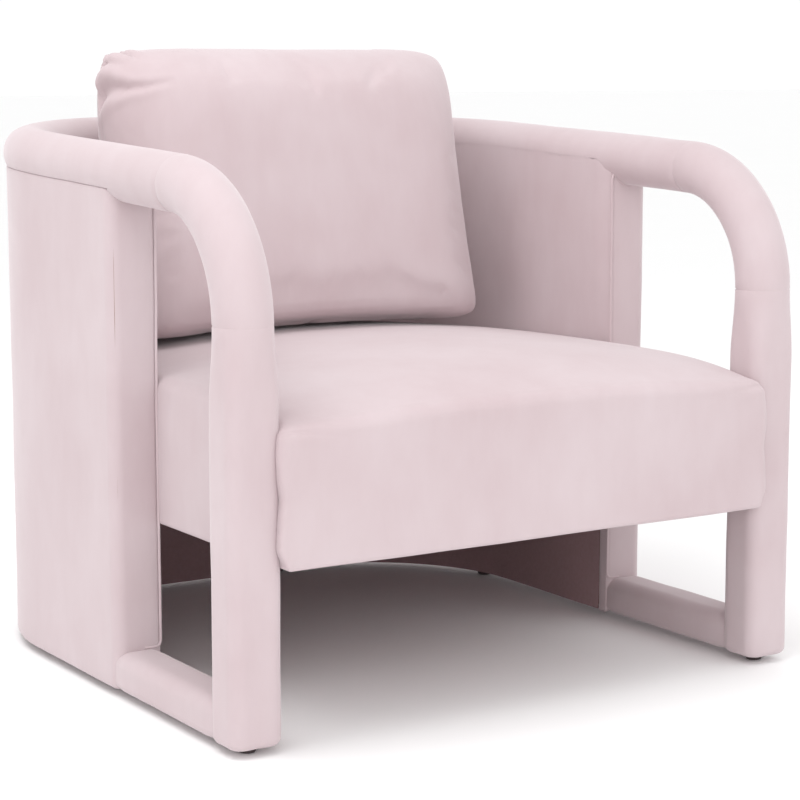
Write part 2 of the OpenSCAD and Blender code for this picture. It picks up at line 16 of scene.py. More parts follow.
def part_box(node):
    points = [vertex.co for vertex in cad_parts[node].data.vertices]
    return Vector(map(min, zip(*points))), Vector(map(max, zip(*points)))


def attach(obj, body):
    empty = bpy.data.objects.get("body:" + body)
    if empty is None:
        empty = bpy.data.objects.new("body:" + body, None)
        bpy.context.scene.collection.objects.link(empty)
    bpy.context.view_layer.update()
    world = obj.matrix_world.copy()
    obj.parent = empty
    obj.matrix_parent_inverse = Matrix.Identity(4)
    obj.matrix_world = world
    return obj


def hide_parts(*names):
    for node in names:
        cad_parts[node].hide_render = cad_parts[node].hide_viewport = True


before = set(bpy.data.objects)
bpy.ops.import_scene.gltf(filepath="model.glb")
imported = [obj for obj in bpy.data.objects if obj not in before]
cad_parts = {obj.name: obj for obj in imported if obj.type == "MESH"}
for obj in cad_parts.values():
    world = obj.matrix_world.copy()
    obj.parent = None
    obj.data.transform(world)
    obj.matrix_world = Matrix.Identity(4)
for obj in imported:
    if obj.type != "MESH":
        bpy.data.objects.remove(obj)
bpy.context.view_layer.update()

# %% [markdown]
# ## Sizes
# Nearly every size is read off the frame, so the covers always fit it. Four numbers can't be read
# from a box: the fall of the arms, the radius of the round back corners, the radius of the bend from
# arm to leg, and the rounding of a leg's corners. They repeat the workshop's own values.

# %% Read the sizes of the chair
MM = 0.001
ARM_FALL = math.radians(2.3)
CORNER_RADIUS = 288 * MM
BEND_RADIUS = 176 * MM
LEG_CORNER = 16 * MM

arm_low, arm_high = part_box("right_arm_cover")
leg_low, leg_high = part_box("right_leg_cover")
sill_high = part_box("right_sill_cover")[1]
wall_low, wall_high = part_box("outer_shell_cover")
seat_low, seat_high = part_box("seat_cover")

side_x = (arm_low.x + arm_high.x) / 2
roll_radius = (arm_high.x - arm_low.x) / 2
half_width = wall_high.x
wall = 2 * (half_width - side_x)
corner_x = half_width - CORNER_RADIUS
corner_y = wall_high.y - CORNER_RADIUS
shell_front = sill_high.y
base_z = wall_low.z
rail_top = sill_high.z
leg_width = leg_high.x - leg_low.x
leg_depth = leg_high.y - leg_low.y
leg_y = (leg_low.y + leg_high.y) / 2
bend_z = leg_high.z
bend_line = BEND_RADIUS - roll_radius
bend_y = leg_y + bend_line
seam_drop = math.sqrt(roll_radius ** 2 - (wall / 2) ** 2)
roll_z = arm_high.z - roll_radius / math.cos(ARM_FALL) - math.tan(ARM_FALL) * arm_high.y
print(f"arm tube {2 * roll_radius / MM:.0f} mm across at x = {side_x / MM:.0f} mm")
print(f"wall {wall / MM:.0f} mm thick, roll centre {roll_z / MM:.0f} mm up at the chair's middle")

# %% [markdown]
# ## Small tools
# A cover starts as a loop of edges, the section of its padding. The loop is pulled along a straight
# run, or turned round a corner, and the operators leave a clean skin of quads behind it. Three small
# functions do that. Others draw a circle, merge doubles and close the open ends.

# %% Pull, turn and close a loop of edges
STEP = 11 * MM


def loop_of(geom):
    """The open edges in a list that a bmesh operator gave back."""
    return [g for g in geom if isinstance(g, bmesh.types.BMEdge) and g.is_boundary]


def verts_of(edges):
    """The vertices of some edges, each once, in a fixed order."""
    return sorted({v for e in edges for v in e.verts}, key=lambda v: v.index)


def pull(bm, edges, step, count=1):
    """Extrudes a loop count times by the vector step, and gives the last loop."""
    for _ in range(count):
        edges = loop_of(bmesh.ops.extrude_edge_only(bm, edges=edges)["geom"])
        bm.verts.index_update()
        bmesh.ops.translate(bm, vec=step, verts=verts_of(edges))
    return edges


def steps_in(length):
    """How many steps of about 11 mm a length takes."""
    return max(1, round(length / STEP))


def run_along(bm, edges, way):
    """Pulls a loop by the vector way, in even steps."""
    count = steps_in(way.length)
    return pull(bm, edges, way / count, count)


def turn(bm, edges, centre, axis, angle, steps):
    """Spins a loop round an axis, and gives the last loop."""
    spun = bmesh.ops.spin(bm, geom=verts_of(edges) + edges, cent=centre, axis=axis,
                          dvec=(0, 0, 0), angle=angle, steps=steps, use_merge=False)
    bm.verts.index_update()
    return loop_of(spun["geom_last"])


def circle(bm, radius, place=Matrix.Identity(4), segments=64):
    """A circle as a loop of edges."""
    drawn = bmesh.ops.create_circle(bm, segments=segments, radius=radius, matrix=place)
    bm.verts.index_update()
    return sorted({e for v in drawn["verts"] for e in v.link_edges}, key=lambda e: e.verts[0].index)


def close_ends(bm):
    """Fills each open end with one face."""
    bmesh.ops.holes_fill(bm, edges=[e for e in bm.edges if e.is_boundary], sides=0)


def everything(bm):
    return list(bm.verts) + list(bm.edges) + list(bm.faces)


def merge(bm, reach=0.01 * MM):
    """Joins vertices that lie on each other."""
    bmesh.ops.remove_doubles(bm, verts=bm.verts, dist=reach)


# %% [markdown]
# Foam and fabric are never quite true. One gentle wander, a function of place alone, moves every
# cover. Two covers that meet at a seam therefore move together, and no gap opens between them. Vector
# noise starts from the clock unless it is given a seed, so a seed makes every run the same chair.

# %% Let the padding settle
BROAD = 150 * MM
CLOSE = 46 * MM
SEED = 5

noise.seed_set(SEED)


def wander(p, broad=1.2 * MM, close=0.35 * MM):
    """How far the padding at a point has settled from its drawn place."""
    return noise.noise_vector(p / BROAD) * broad + noise.noise_vector(p / CLOSE) * close


def settle(bm, share=1.0):
    """Moves every vertex by the wander, but keeps feet and undersides level."""
    for v in bm.verts:
        shift = wander(v.co) * share
        height = min(1.0, max(0.0, (v.co.z - base_z) / (25 * MM)))
        v.co += Vector((shift.x, shift.y, shift.z * height))


# %% [markdown]
# A finished piece keeps its object at the origin, with its place in its mesh, as the frame's own
# parts do. Faces are shaded smooth, except across edges sharper than 50 degrees, where covers tuck in.

# %% Turn a bmesh into a piece that rides on its body
SHARP = math.radians(50)


def as_object(bm, name):
    """A linked object that holds the bmesh as its mesh."""
    mesh = bpy.data.meshes.new(name)
    bm.to_mesh(mesh)
    bm.free()
    shape = bpy.data.objects.new(name, mesh)
    bpy.context.scene.collection.objects.link(shape)
    return shape


def finish_piece(bm, name, cloth, body, *stands_for, slot="velvet", fill=None):
    """Makes the object, gives it its material and body, and hides the plain solids it stands for."""
    bmesh.ops.recalc_face_normals(bm, faces=bm.faces)
    piece = as_object(bm, name)
    piece.data.shade_smooth()
    piece.data.set_sharp_from_angle(angle=SHARP)
    piece.data.materials.append(cloth)
    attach(piece, body)
    if stands_for:
        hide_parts(*stands_for)
    print(f"{name}: {len(piece.data.polygons)} faces")
    return piece


def mirrored(bm):
    """A copy of a right-hand bmesh for the left-hand side of the chair."""
    other = bm.copy()
    bmesh.ops.scale(other, vec=(-1, 1, 1), verts=other.verts)
    bmesh.ops.reverse_faces(other, faces=other.faces)
    return other


def both_sides(make, name, cloth, body, nodes, **how):
    """Makes a right-hand piece and its left-hand twin, each settled in its own way."""
    right = make()
    left = mirrored(right)
    for bm, side in ((right, "right"), (left, "left")):
        settle(bm)
        finish_piece(bm, f"{side}_{name}", cloth, body, *[n.format(side=side) for n in nodes], **how)


# %% [markdown]
# ## Materials
# Colours are written as screen values, the ones a swatch shows, and turned to linear light by one
# function. One more small function adds a node, sets its inputs and links it up.

# %% Colour and node helpers
def colour(code):
    """A hex swatch colour as linear red, green, blue and alpha."""
    parts = [int(code[i:i + 2], 16) / 255 for i in (1, 3, 5)]
    return [p / 12.92 if p <= 0.04045 else ((p + 0.055) / 1.055) ** 2.4 for p in parts] + [1.0]


def add(tree, kind, settings=None, **inputs):
    """Adds a node. Settings are its own options, and each input is a value or another node's output."""
    node = tree.nodes.new(kind)
    for key, value in (settings or {}).items():
        setattr(node, key, value)
    for key, value in inputs.items():
        socket = node.inputs[key.replace("_", " ")]
        if isinstance(value, bpy.types.NodeSocket):
            tree.links.new(value, socket)
        else:
            socket.default_value = value
    return node


def maths(tree, operation, *values):
    """The output of a Math node whose inputs are numbers or other nodes' outputs."""
    node = add(tree, "ShaderNodeMath", {"operation": operation})
    for socket, value in zip(node.inputs, values):
        if isinstance(value, bpy.types.NodeSocket):
            tree.links.new(value, socket)
        else:
            socket.default_value = value
    return node.outputs[0]


def new_finish(name):
    """A material with its node tree cleared, and the place coordinates of the piece."""
    finish = bpy.data.materials.new(name)
    finish.use_nodes = True
    tree = finish.node_tree
    tree.nodes.clear()
    place = add(tree, "ShaderNodeTexCoord").outputs["Object"]
    return finish, tree, place


def shade(tree, base, roughness, bump=None, **sockets):
    """The surface shader and its output. Even values go straight on its sockets."""
    skin = add(tree, "ShaderNodeBsdfPrincipled", Base_Color=base, Roughness=roughness)
    for key, value in sockets.items():
        skin.inputs[key.replace("_", " ")].default_value = value
    if bump is not None:
        tree.links.new(bump, skin.inputs["Normal"])
    add(tree, "ShaderNodeOutputMaterial", Surface=skin.outputs["BSDF"])
    return skin


def blend_of(tree, amount, low, high):
    """Two colours mixed by a field between 0 and 1."""
    ramp = add(tree, "ShaderNodeValToRGB", Fac=amount)
    ramp.color_ramp.elements[0].color = low
    ramp.color_ramp.elements[1].color = high
    return ramp


def grain(tree, place, size, detail=2.0, rough=0.5, stretch=(1, 1, 1)):
    """Noise whose blotches are about size metres across, stretched along the axes."""
    spread = add(tree, "ShaderNodeMapping", Vector=place, Scale=stretch)
    return add(tree, "ShaderNodeTexNoise", Vector=spread.outputs["Vector"], Scale=1 / size,
               Detail=detail, Roughness=rough).outputs["Fac"]


def bumped(tree, height, distance, strength=1.0, under=None):
    """Bump of a given depth in metres, on top of an earlier bump if there is one."""
    node = add(tree, "ShaderNodeBump", Height=height, Distance=distance, Strength=strength)
    if under is not None:
        tree.links.new(under, node.inputs["Normal"])
    return node.outputs["Normal"]

# %% [markdown]
# ### Velvet
# Velvet is a short upright pile, here polyester, brushed one way. Seen across the pile it is deep and
# matt, and at a grazing angle the fibre tips catch the light, which sheen gives. Hands and packing
# lay the pile this way and that, so the tone drifts in soft patches as wide as a hand. Single fibres
# are far too fine to see, so the nap is drawn as a faint bump about a millimetre across.

# %% Make the velvet
PALE_BLUSH = "#c9babd"
ROSE_BLUSH = "#c1afb2"


def make_velvet(name, pale, rose):
    finish, tree, place = new_finish(name)
    patches = grain(tree, place, 170 * MM, detail=3.0, rough=0.45)
    brushed = grain(tree, place, 24 * MM, detail=4.0, rough=0.6, stretch=(1, 1, 0.35))
    drift = maths(tree, "MULTIPLY_ADD", brushed, 0.35, patches)
    spread = add(tree, "ShaderNodeMapRange", Value=drift, From_Min=0.45, From_Max=0.90)
    tone = blend_of(tree, spread.outputs["Result"], colour(rose), colour(pale))
    nap = grain(tree, place, 1.1 * MM, detail=3.0, rough=0.7)
    soft = bumped(tree, brushed, 0.35 * MM, strength=0.35)
    pile = bumped(tree, nap, 0.16 * MM, strength=0.45, under=soft)
    shade(tree, tone.outputs["Color"], 0.85, bump=pile, Sheen_Weight=0.4, Sheen_Roughness=0.45,
          Sheen_Tint=(1.0, 0.97, 0.98, 1.0), Specular_IOR_Level=0.2, IOR=1.5)
    return finish


velvet = make_velvet("blush_velvet", PALE_BLUSH, ROSE_BLUSH)
# The piping's velvet is painted a touch paler than the main velvet: a painted highlight along the piped
# seam.
piping_velvet_painted_highlight = make_velvet("piping_velvet_painted_highlight", "#ccbcbf", "#c2afb2")
print("velvet", PALE_BLUSH, ROSE_BLUSH)

# %% [markdown]
# ### Cambric
# The dust cloth under the seat and round the foot of the wall is cambric, a spun polypropylene felt.
# Hot rollers press a fine grid of dots into it, which is what tells it from woven cloth.

# %% Make the cambric
def make_cambric():
    finish, tree, place = new_finish("brown_cambric")
    dots = add(tree, "ShaderNodeTexVoronoi", Vector=place, Scale=1 / (2.2 * MM), Randomness=0.25)
    fibres = grain(tree, place, 5 * MM, detail=5.0, rough=0.7)
    tone = blend_of(tree, fibres, colour("#8d7274"), colour("#a3878a"))
    pressed = bumped(tree, dots.outputs["Distance"], 0.25 * MM, strength=0.6)
    fuzzy = bumped(tree, fibres, 0.3 * MM, strength=0.5, under=pressed)
    shade(tree, tone.outputs["Color"], 0.92, bump=fuzzy, Sheen_Weight=0.15, Specular_IOR_Level=0.25)
    return finish


cambric = make_cambric()

# %% [markdown]
# ### Timber, plywood and hardboard
# The frame is planed softwood and sanded plywood skinned with hardboard. Softwood shows long growth
# bands a few millimetres apart, stretched along the piece. Plywood shows its layers on cut edges, and
# hardboard is a smooth brown felt of fibres.

# %% Make the three woods
def make_timber(name, along, early, late):
    """Planed softwood whose grain runs along one axis: 0, 1 or 2."""
    finish, tree, place = new_finish(name)
    stretch = [1.0, 1.0, 1.0]
    stretch[along] = 0.06
    wavy = grain(tree, place, 30 * MM, detail=2.0, stretch=stretch)
    bands = maths(tree, "SINE", maths(tree, "MULTIPLY", wavy, 60.0))
    level = add(tree, "ShaderNodeMapRange", Value=bands, From_Min=-1.0)
    tone = blend_of(tree, level.outputs["Result"], colour(early), colour(late))
    pores = grain(tree, place, 1.5 * MM, detail=3.0, stretch=stretch)
    cut = bumped(tree, pores, 0.12 * MM, strength=0.4)
    shade(tree, tone.outputs["Color"], 0.62, bump=cut, Specular_IOR_Level=0.35)
    return finish


def make_plywood():
    finish, tree, place = new_finish("sanded_plywood")
    depth = add(tree, "ShaderNodeSeparateXYZ", Vector=place)
    layers = maths(tree, "SINE", maths(tree, "MULTIPLY", depth.outputs["Z"], 2 * math.pi / (2.6 * MM)))
    level = add(tree, "ShaderNodeMapRange", Value=layers, From_Min=-1.0)
    figure = grain(tree, place, 9 * MM, detail=4.0, stretch=(0.2, 1, 1))
    both = maths(tree, "MULTIPLY", level.outputs["Result"], figure)
    tone = blend_of(tree, both, colour("#d8b987"), colour("#a97f4f"))
    sanded = bumped(tree, figure, 0.15 * MM, strength=0.3)
    shade(tree, tone.outputs["Color"], 0.68, bump=sanded, Specular_IOR_Level=0.3)
    return finish


def make_hardboard():
    finish, tree, place = new_finish("pressed_hardboard")
    felt = grain(tree, place, 3 * MM, detail=6.0, rough=0.75)
    tone = blend_of(tree, felt, colour("#6d4c33"), colour("#9a7150"))
    pressed = bumped(tree, felt, 0.1 * MM, strength=0.3)
    shade(tree, tone.outputs["Color"], 0.5, bump=pressed, Specular_IOR_Level=0.4)
    return finish


upright_timber = make_timber("upright_softwood", 2, "#e2c697", "#c79e63")
crosswise_timber = make_timber("crosswise_softwood", 0, "#dfc293", "#c2985e")
lengthwise_timber = make_timber("lengthwise_softwood", 1, "#e0c494", "#c59b60")
plywood = make_plywood()
hardboard = make_hardboard()

# %% [markdown]
# ### Metals, plastics and jute
# Spring wire is drawn and tempered, so it is dark and faintly blue. Bolts, nuts and nails are plated
# with zinc, which dries in a fine cloudy spangle. The zip's slider and pull are nickel plated. The
# clips and glides are moulded plastic, dull from the tool. A jute hessian lies between springs and
# foam: coarse round threads, a little under two millimetres apart.

# %% Make the metals
def make_metal(name, dark, light, roughness, spot):
    finish, tree, place = new_finish(name)
    cloud = grain(tree, place, spot, detail=4.0, rough=0.6)
    tone = blend_of(tree, cloud, colour(dark), colour(light))
    dull = add(tree, "ShaderNodeMapRange", Value=cloud, To_Min=roughness - 0.08, To_Max=roughness + 0.08)
    worn = bumped(tree, cloud, 0.04 * MM, strength=0.3)
    shade(tree, tone.outputs["Color"], dull.outputs["Result"], bump=worn, Metallic=1.0)
    return finish


spring_steel = make_metal("tempered_spring_steel", "#3f434a", "#6c727b", 0.36, 6 * MM)
zinc = make_metal("zinc_plated_steel", "#a8abae", "#cdd0d2", 0.38, 4 * MM)
nickel = make_metal("nickel_plated_zinc", "#b5b3ae", "#d6d4cf", 0.24, 3 * MM)

# %% Make the plastics and the jute
def make_plastic(name, dark, light, roughness):
    finish, tree, place = new_finish(name)
    skin = grain(tree, place, 1.4 * MM, detail=3.0)
    tone = blend_of(tree, grain(tree, place, 12 * MM), colour(dark), colour(light))
    moulded = bumped(tree, skin, 0.06 * MM, strength=0.4)
    shade(tree, tone.outputs["Color"], roughness, bump=moulded, IOR=1.49, Specular_IOR_Level=0.45)
    return finish


def woven(tree, place, axis, pitch):
    """Threads as a field of ridges across one axis, pitch metres apart."""
    parts = add(tree, "ShaderNodeSeparateXYZ", Vector=place)
    return maths(tree, "SINE", maths(tree, "MULTIPLY", parts.outputs[axis], 2 * math.pi / pitch))


def make_weave(name, pitch, across, along, dark, light):
    """Plain weave: warp and weft ridges multiplied, so that each thread dips under the next."""
    finish, tree, place = new_finish(name)
    over = maths(tree, "MULTIPLY", woven(tree, place, across, pitch), woven(tree, place, along, pitch))
    level = add(tree, "ShaderNodeMapRange", Value=over, From_Min=-1.0)
    tone = blend_of(tree, level.outputs["Result"], colour(dark), colour(light))
    threads = bumped(tree, level.outputs["Result"], 0.4 * MM, strength=0.7)
    hairy = bumped(tree, grain(tree, place, 1.2 * MM, detail=4.0), 0.2 * MM, strength=0.4, under=threads)
    shade(tree, tone.outputs["Color"], 0.88, bump=hairy, Specular_IOR_Level=0.2)
    return finish


clip_plastic = make_plastic("moulded_clip_plastic", "#1b1b1c", "#2a2a2b", 0.5)
glide_plastic = make_plastic("moulded_glide_plastic", "#3b3130", "#54484a", 0.55)
jute = make_weave("jute_hessian", 1.8 * MM, "X", "Y", "#8d6f44", "#c4a571")
zip_cloth = make_weave("zip_tape_weave", 0.9 * MM, "X", "Z", "#d3b6ba", "#ead0d3")
print("finishes:", len(bpy.data.materials))

# %% [markdown]
# ## The frame's own parts
# The parts inside the chair already have their true shapes, so they keep their meshes and only take
# better finishes on their own material slots. Soft solids are left out here: covers replace them.

# %% Finish the parts that keep their shape
FINISHES = {
    "upright": (upright_timber, ["left_leg_post", "right_leg_post", "left_front_post",
                                 "right_front_post", "back_studs"]),
    "lengthwise": (lengthwise_timber, ["left_arm_bar", "right_arm_bar", "left_sill_bar",
                                       "right_sill_bar", "left_seat_rail", "right_seat_rail"]),
    "crosswise": (crosswise_timber, ["seat_front_rail", "seat_back_rail", "corner_blocks",
                                     "rear_ledger"]),
    "plywood": (plywood, ["left_arm_arch", "right_arm_arch", "bottom_hoop", "seat_hoop", "top_hoop",
                          "rear_deck_board"]),
    "hardboard": (hardboard, ["inner_board", "outer_board"]),
    "springs": (spring_steel, ["sinuous_springs"]),
    "clips": (clip_plastic, ["spring_clips"]),
    "hessian": (jute, ["spring_cover"]),
    "fixings": (zinc, ["glide_nails", "side_bolts", "tee_nuts"]),
    "zip metal": (nickel, ["zip_slider", "zip_pull"]),
    "zip cloth": (zip_cloth, ["zip_tape"]),
}


def refinish(node, finish):
    """Puts a finish on every material slot of a part of the frame."""
    slots = node.material_slots
    if not slots:
        node.data.materials.append(finish)
    for slot in slots:
        slot.material = finish


for group, (finish, names) in FINISHES.items():
    for name in names:
        refinish(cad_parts[name], finish)
    print(f"{group}: {len(names)} parts")

# %% [markdown]
# ## The roll, arms, bends and legs
# On the real chair these are one long padded tube of timber, foam and velvet, sewn from several
# sleeves. They are modelled as separate sleeves with matching end loops, so the seams fall where an
# upholsterer puts them. A sleeve is a circle pulled along the arm and spun round the bend. Its seams
# pinch in on the hollow side of the bend, where slack cloth gathers, and fade out on the far side,
# where the cloth is drawn tight.

# %% Sections and seams of a tube
LIP = 1.4 * MM
SEAM_PINCH = 1.7 * MM
arm_slope = Matrix.Translation((0, 0, roll_z)) @ Matrix.Rotation(ARM_FALL, 4, "X")


def along_slope(y):
    """Distance along the sloping arm of a place at y."""
    return y / math.cos(ARM_FALL)


def tube_loop(bm, x, y):
    """A circle round the arm's centre line, in the arm's own sloping frame."""
    place = Matrix.Translation((x, y, 0)) @ Matrix.Rotation(math.radians(90), 4, "X")
    return circle(bm, roll_radius, place)


def pinch(points, centre, hollow):
    """Draws the points of a seam in towards its centre, most on the hollow side."""
    for v in points:
        out = (v.co - centre).normalized()
        share = 0.5 + 0.5 * out.dot(hollow)
        v.co -= out * SEAM_PINCH * (0.12 + 0.88 * share ** 2)


def sleeve(bm, first, step, length):
    """Pulls a loop by length with a short lip at both ends, and gives the last loop."""
    lip = step.normalized() * LIP
    edges = pull(bm, first, lip)
    edges = run_along(bm, edges, step.normalized() * (length - 2 * LIP))
    return pull(bm, edges, lip)


# %% [markdown]
# The roll runs all the way round the back. Below its middle it is cut off flat, where it is sewn down
# to the wall, so the circle's lowest points are lifted to the seam. The back corners are spins.

# %% Make the roll
def make_roll():
    bm = bmesh.new()
    centre_y = along_slope(corner_y)
    start = along_slope(shell_front)
    edges = tube_loop(bm, side_x, start)
    edges = pull(bm, edges, Vector((0, LIP, 0)))
    straight = Vector((0, centre_y - start - LIP, 0))
    edges = run_along(bm, edges, straight)
    bend = CORNER_RADIUS - wall / 2
    quarter = math.pi / 2
    edges = turn(bm, edges, (corner_x, centre_y, 0), (0, 0, 1), quarter, steps_in(bend * quarter))
    edges = run_along(bm, edges, Vector((-2 * corner_x, 0, 0)))
    edges = turn(bm, edges, (-corner_x, centre_y, 0), (0, 0, 1), quarter, steps_in(bend * quarter))
    edges = run_along(bm, edges, -straight)
    pull(bm, edges, Vector((0, -LIP, 0)))
    merge(bm)
    for v in bm.verts:
        v.co.z = max(v.co.z, -seam_drop)
    close_ends(bm)
    bmesh.ops.transform(bm, matrix=arm_slope, verts=bm.verts)
    settle(bm)
    return bm


finish_piece(make_roll(), "roll_cover", velvet, "chair", "roll_cover", "roll_foam", fill=0.85)

# %% [markdown]
# The free part of each arm crosses the open window between wall and bend. Its end at the wall stands
# on the top of the end panel, so the lower half of that loop is pushed a little way into the wall.

# %% Make the arm sleeves
HOLLOW = Vector((0, 0, -1))
PUSH_IN = 5 * MM
bend_start = bend_y - bend_line * math.sin(ARM_FALL)


def make_arm_sleeve():
    bm = bmesh.new()
    y0 = along_slope(bend_start)
    y1 = along_slope(shell_front)
    first = tube_loop(bm, side_x, y1)
    pushed = [v for v in verts_of(first) if v.co.z < -seam_drop]
    last = sleeve(bm, first, Vector((0, -1, 0)), y1 - y0)
    pinch(verts_of(last), Vector((side_x, y0, 0)), HOLLOW)
    for v in pushed:
        v.co.y += PUSH_IN
    close_ends(bm)
    bmesh.ops.transform(bm, matrix=arm_slope, verts=bm.verts)
    return bm


both_sides(make_arm_sleeve, "arm_cover", velvet, "chair", ["{side}_arm_cover", "arm_foam"], fill=0.85)

# %% [markdown]
# The bend is the same circle spun round a point in the window. Spinning keeps every loop square to
# the tube, which is what keeps a bent pipe round.

# %% Make the bends
def make_bend():
    bm = bmesh.new()
    centre = Vector((side_x, bend_y, bend_z))
    first = circle(bm, roll_radius, Matrix.Translation((side_x, bend_y - bend_line, bend_z)))
    swing = math.pi / 2 - ARM_FALL
    lip_angle = LIP / bend_line
    edges = turn(bm, first, centre, (-1, 0, 0), lip_angle, 1)
    edges = turn(bm, edges, centre, (-1, 0, 0), swing - 2 * lip_angle, steps_in(bend_line * swing))
    last = turn(bm, edges, centre, (-1, 0, 0), lip_angle, 1)
    merge(bm)
    low = [v for v in bm.verts if abs(v.co.z - bend_z) < 0.01 * MM]
    low_centre = Vector((side_x, bend_y - bend_line, bend_z))
    high_centre = Matrix.Rotation(-swing, 3, "X") @ (low_centre - centre) + centre
    high = [v for v in bm.verts if abs((v.co - high_centre).dot(
        Vector((0, math.cos(ARM_FALL), math.sin(ARM_FALL))))) < 0.01 * MM and v.co.z > bend_z]
    for end, middle, hollow in ((low, low_centre, Vector((0, 1, 0))), (high, high_centre, HOLLOW)):
        pinch(end, middle, hollow)
    close_ends(bm)
    return bm


both_sides(make_bend, "bend_cover", velvet, "chair", ["{side}_bend_cover", "bend_foam"], fill=0.85)

# %% [markdown]
# A leg starts as the bend's round tube and grows square on its way down. Each loop is a circle pushed
# out towards a rounded rectangle, by a share that grows from nothing at the bend to all of it a hand's
# breadth lower. At the foot the last loops shrink round a small radius and close.

# %% Make the legs
SQUARE_BY = 85 * MM
FOOT_RADIUS = 9 * MM


def edge_of_rectangle(out, half_x, half_y, corner):
    """How far a rounded rectangle reaches from its middle in the direction out."""
    low, high = 0.0, half_x + half_y
    for _ in range(30):
        reach = (low + high) / 2
        past_x = max(0.0, abs(out.x) * reach - (half_x - corner))
        past_y = max(0.0, abs(out.y) * reach - (half_y - corner))
        if math.hypot(past_x, past_y) < corner:
            low = reach
        else:
            high = reach
    return low


def ease(t):
    """A smooth step from 0 to 1."""
    t = min(1.0, max(0.0, t))
    return t * t * (3 - 2 * t)


def make_leg():
    bm = bmesh.new()
    edges = circle(bm, 1.0)
    straight = steps_in(bend_z - base_z - FOOT_RADIUS)
    heights = [bend_z, bend_z - LIP]
    heights += [bend_z - LIP - (bend_z - LIP - base_z - FOOT_RADIUS) * i / straight
                for i in range(1, straight + 1)]
    insets = [0.0] * len(heights)
    for i in range(1, 7):
        bend = math.radians(15 * i)
        heights.append(base_z + FOOT_RADIUS * (1 - math.sin(bend)))
        insets.append(FOOT_RADIUS * (1 - math.cos(bend)))
    for i, (z, inset) in enumerate(zip(heights, insets)):
        if i:
            edges = pull(bm, edges, Vector((0, 0, -1)))
        share = ease((bend_z - z) / SQUARE_BY)
        for v in verts_of(edges):
            out = Vector((v.co.x, v.co.y, 0)).normalized()
            square = edge_of_rectangle(out, leg_width / 2, leg_depth / 2, LEG_CORNER)
            reach = roll_radius + (square - roll_radius) * share - inset
            v.co = Vector((out.x * reach, out.y * reach, z))
    top = [v for v in bm.verts if abs(v.co.z - bend_z) < 0.01 * MM]
    pinch(top, Vector((0, 0, bend_z)), Vector((0, 1, 0)))
    bmesh.ops.translate(bm, vec=(side_x, leg_y, 0), verts=bm.verts)
    close_ends(bm)
    return bm


both_sides(make_leg, "leg_cover", velvet, "chair", ["{side}_leg_cover", "leg_foam"], fill=0.85)

# %% [markdown]
# The low rail is a padded bar with a well rounded top. Its ends run on into the leg and the wall, and
# the cloth draws in just before them, so a soft crease shows where it is sewn to its neighbours.

# %% Make the low rails
RAIL_TOP_RADIUS = 17 * MM
RAIL_FOOT_RADIUS = 9 * MM
RAIL_REACH = 10 * MM
RAIL_CREASE = 1.6 * MM


def make_rail():
    bm = bmesh.new()
    middle = Vector((side_x, 0, (base_z + rail_top) / 2))
    edges = circle(bm, 1.0, Matrix.Rotation(math.radians(90), 4, "X"))
    leg_back = leg_high.y
    stops = [leg_back - RAIL_REACH, leg_back - 3 * MM]
    count = steps_in(shell_front - leg_back)
    stops += [leg_back + (shell_front - leg_back) * i / count for i in range(count + 1)]
    stops += [shell_front + RAIL_REACH / 2]
    half_x, half_z = wall / 2, (rail_top - base_z) / 2
    for i, y in enumerate(stops):
        if i:
            edges = pull(bm, edges, Vector((0, 0, 0)))
        ends = min(abs(y - leg_back), abs(y - shell_front))
        inside = y <= leg_back or y >= shell_front
        crease = RAIL_CREASE if inside else RAIL_CREASE * (1 - ease(ends / (14 * MM)))
        for v in verts_of(edges):
            drawn_at = middle if i else Vector()
            out = Vector((v.co.x - drawn_at.x, v.co.z - drawn_at.z, 0)).normalized()
            corner = RAIL_TOP_RADIUS if out.y > 0 else RAIL_FOOT_RADIUS
            reach = edge_of_rectangle(out, half_x, half_z, corner) - crease
            v.co = Vector((middle.x + out.x * reach, y, middle.z + out.y * reach))
    close_ends(bm)
    return bm


both_sides(make_rail, "sill_cover", velvet, "chair", ["{side}_sill_cover", "sill_foam"], fill=0.8)

# %% [markdown]
# ## The wall's covers
# One length of velvet wraps the outside of the wall. It starts at the piped seam on the inside edge of
# one front end, crosses the end, turns round a soft corner, runs round the back and finishes the same
# way on the other side. It is a thin wall of cloth, so its section is a tall narrow loop, and the loop
# follows the wall's plan by pulls and spins. Half of it is made and the rest mirrored.

# %% Section of an upright cloth
CLOTH = 1.6 * MM
CLOTH_STEP = 13 * MM
WALL_TOP = 1.0


def upright_loop(bm, start, inward, foot_radius, tuck):
    """A closed loop for cloth that stands at start, from a rounded foot up to WALL_TOP metres.
    inward points from the cloth's face into the padding."""
    face = [(tuck, WALL_TOP), (tuck * 0.25, WALL_TOP - 2 * MM), (0.0, WALL_TOP - 5 * MM)]
    count = round((0.6 - base_z) / CLOTH_STEP)
    low = base_z + foot_radius
    face += [(0.0, low + (WALL_TOP - 5 * MM - low) * (1 - i / count)) for i in range(1, count)]
    for i in range(5):
        bend = math.radians(22.5 * i)
        face.append((foot_radius * (1 - math.cos(bend)), low - foot_radius * math.sin(bend)))
    face.append((foot_radius + 3 * MM, base_z))
    back = [(s + CLOTH, z + (CLOTH if s >= foot_radius else 0)) for s, z in reversed(face)]
    points = [bm.verts.new(start + inward * s + Vector((0, 0, z))) for s, z in face + back]
    bm.verts.index_update()
    return [bm.edges.new((a, b)) for a, b in zip(points, points[1:] + points[:1])]


def fit_height(bm, top_of, low):
    """Squeezes everything between the foot and WALL_TOP to reach a height that depends on place."""
    for v in bm.verts:
        share = (v.co.z - low) / (WALL_TOP - low)
        v.co.z = low + share * (top_of(v.co) - low) if v.co.z > low else v.co.z


def seam_height(p):
    """Height of the seam under the roll above a point of the plan."""
    return roll_z + math.tan(ARM_FALL) * p.y - seam_drop / math.cos(ARM_FALL)


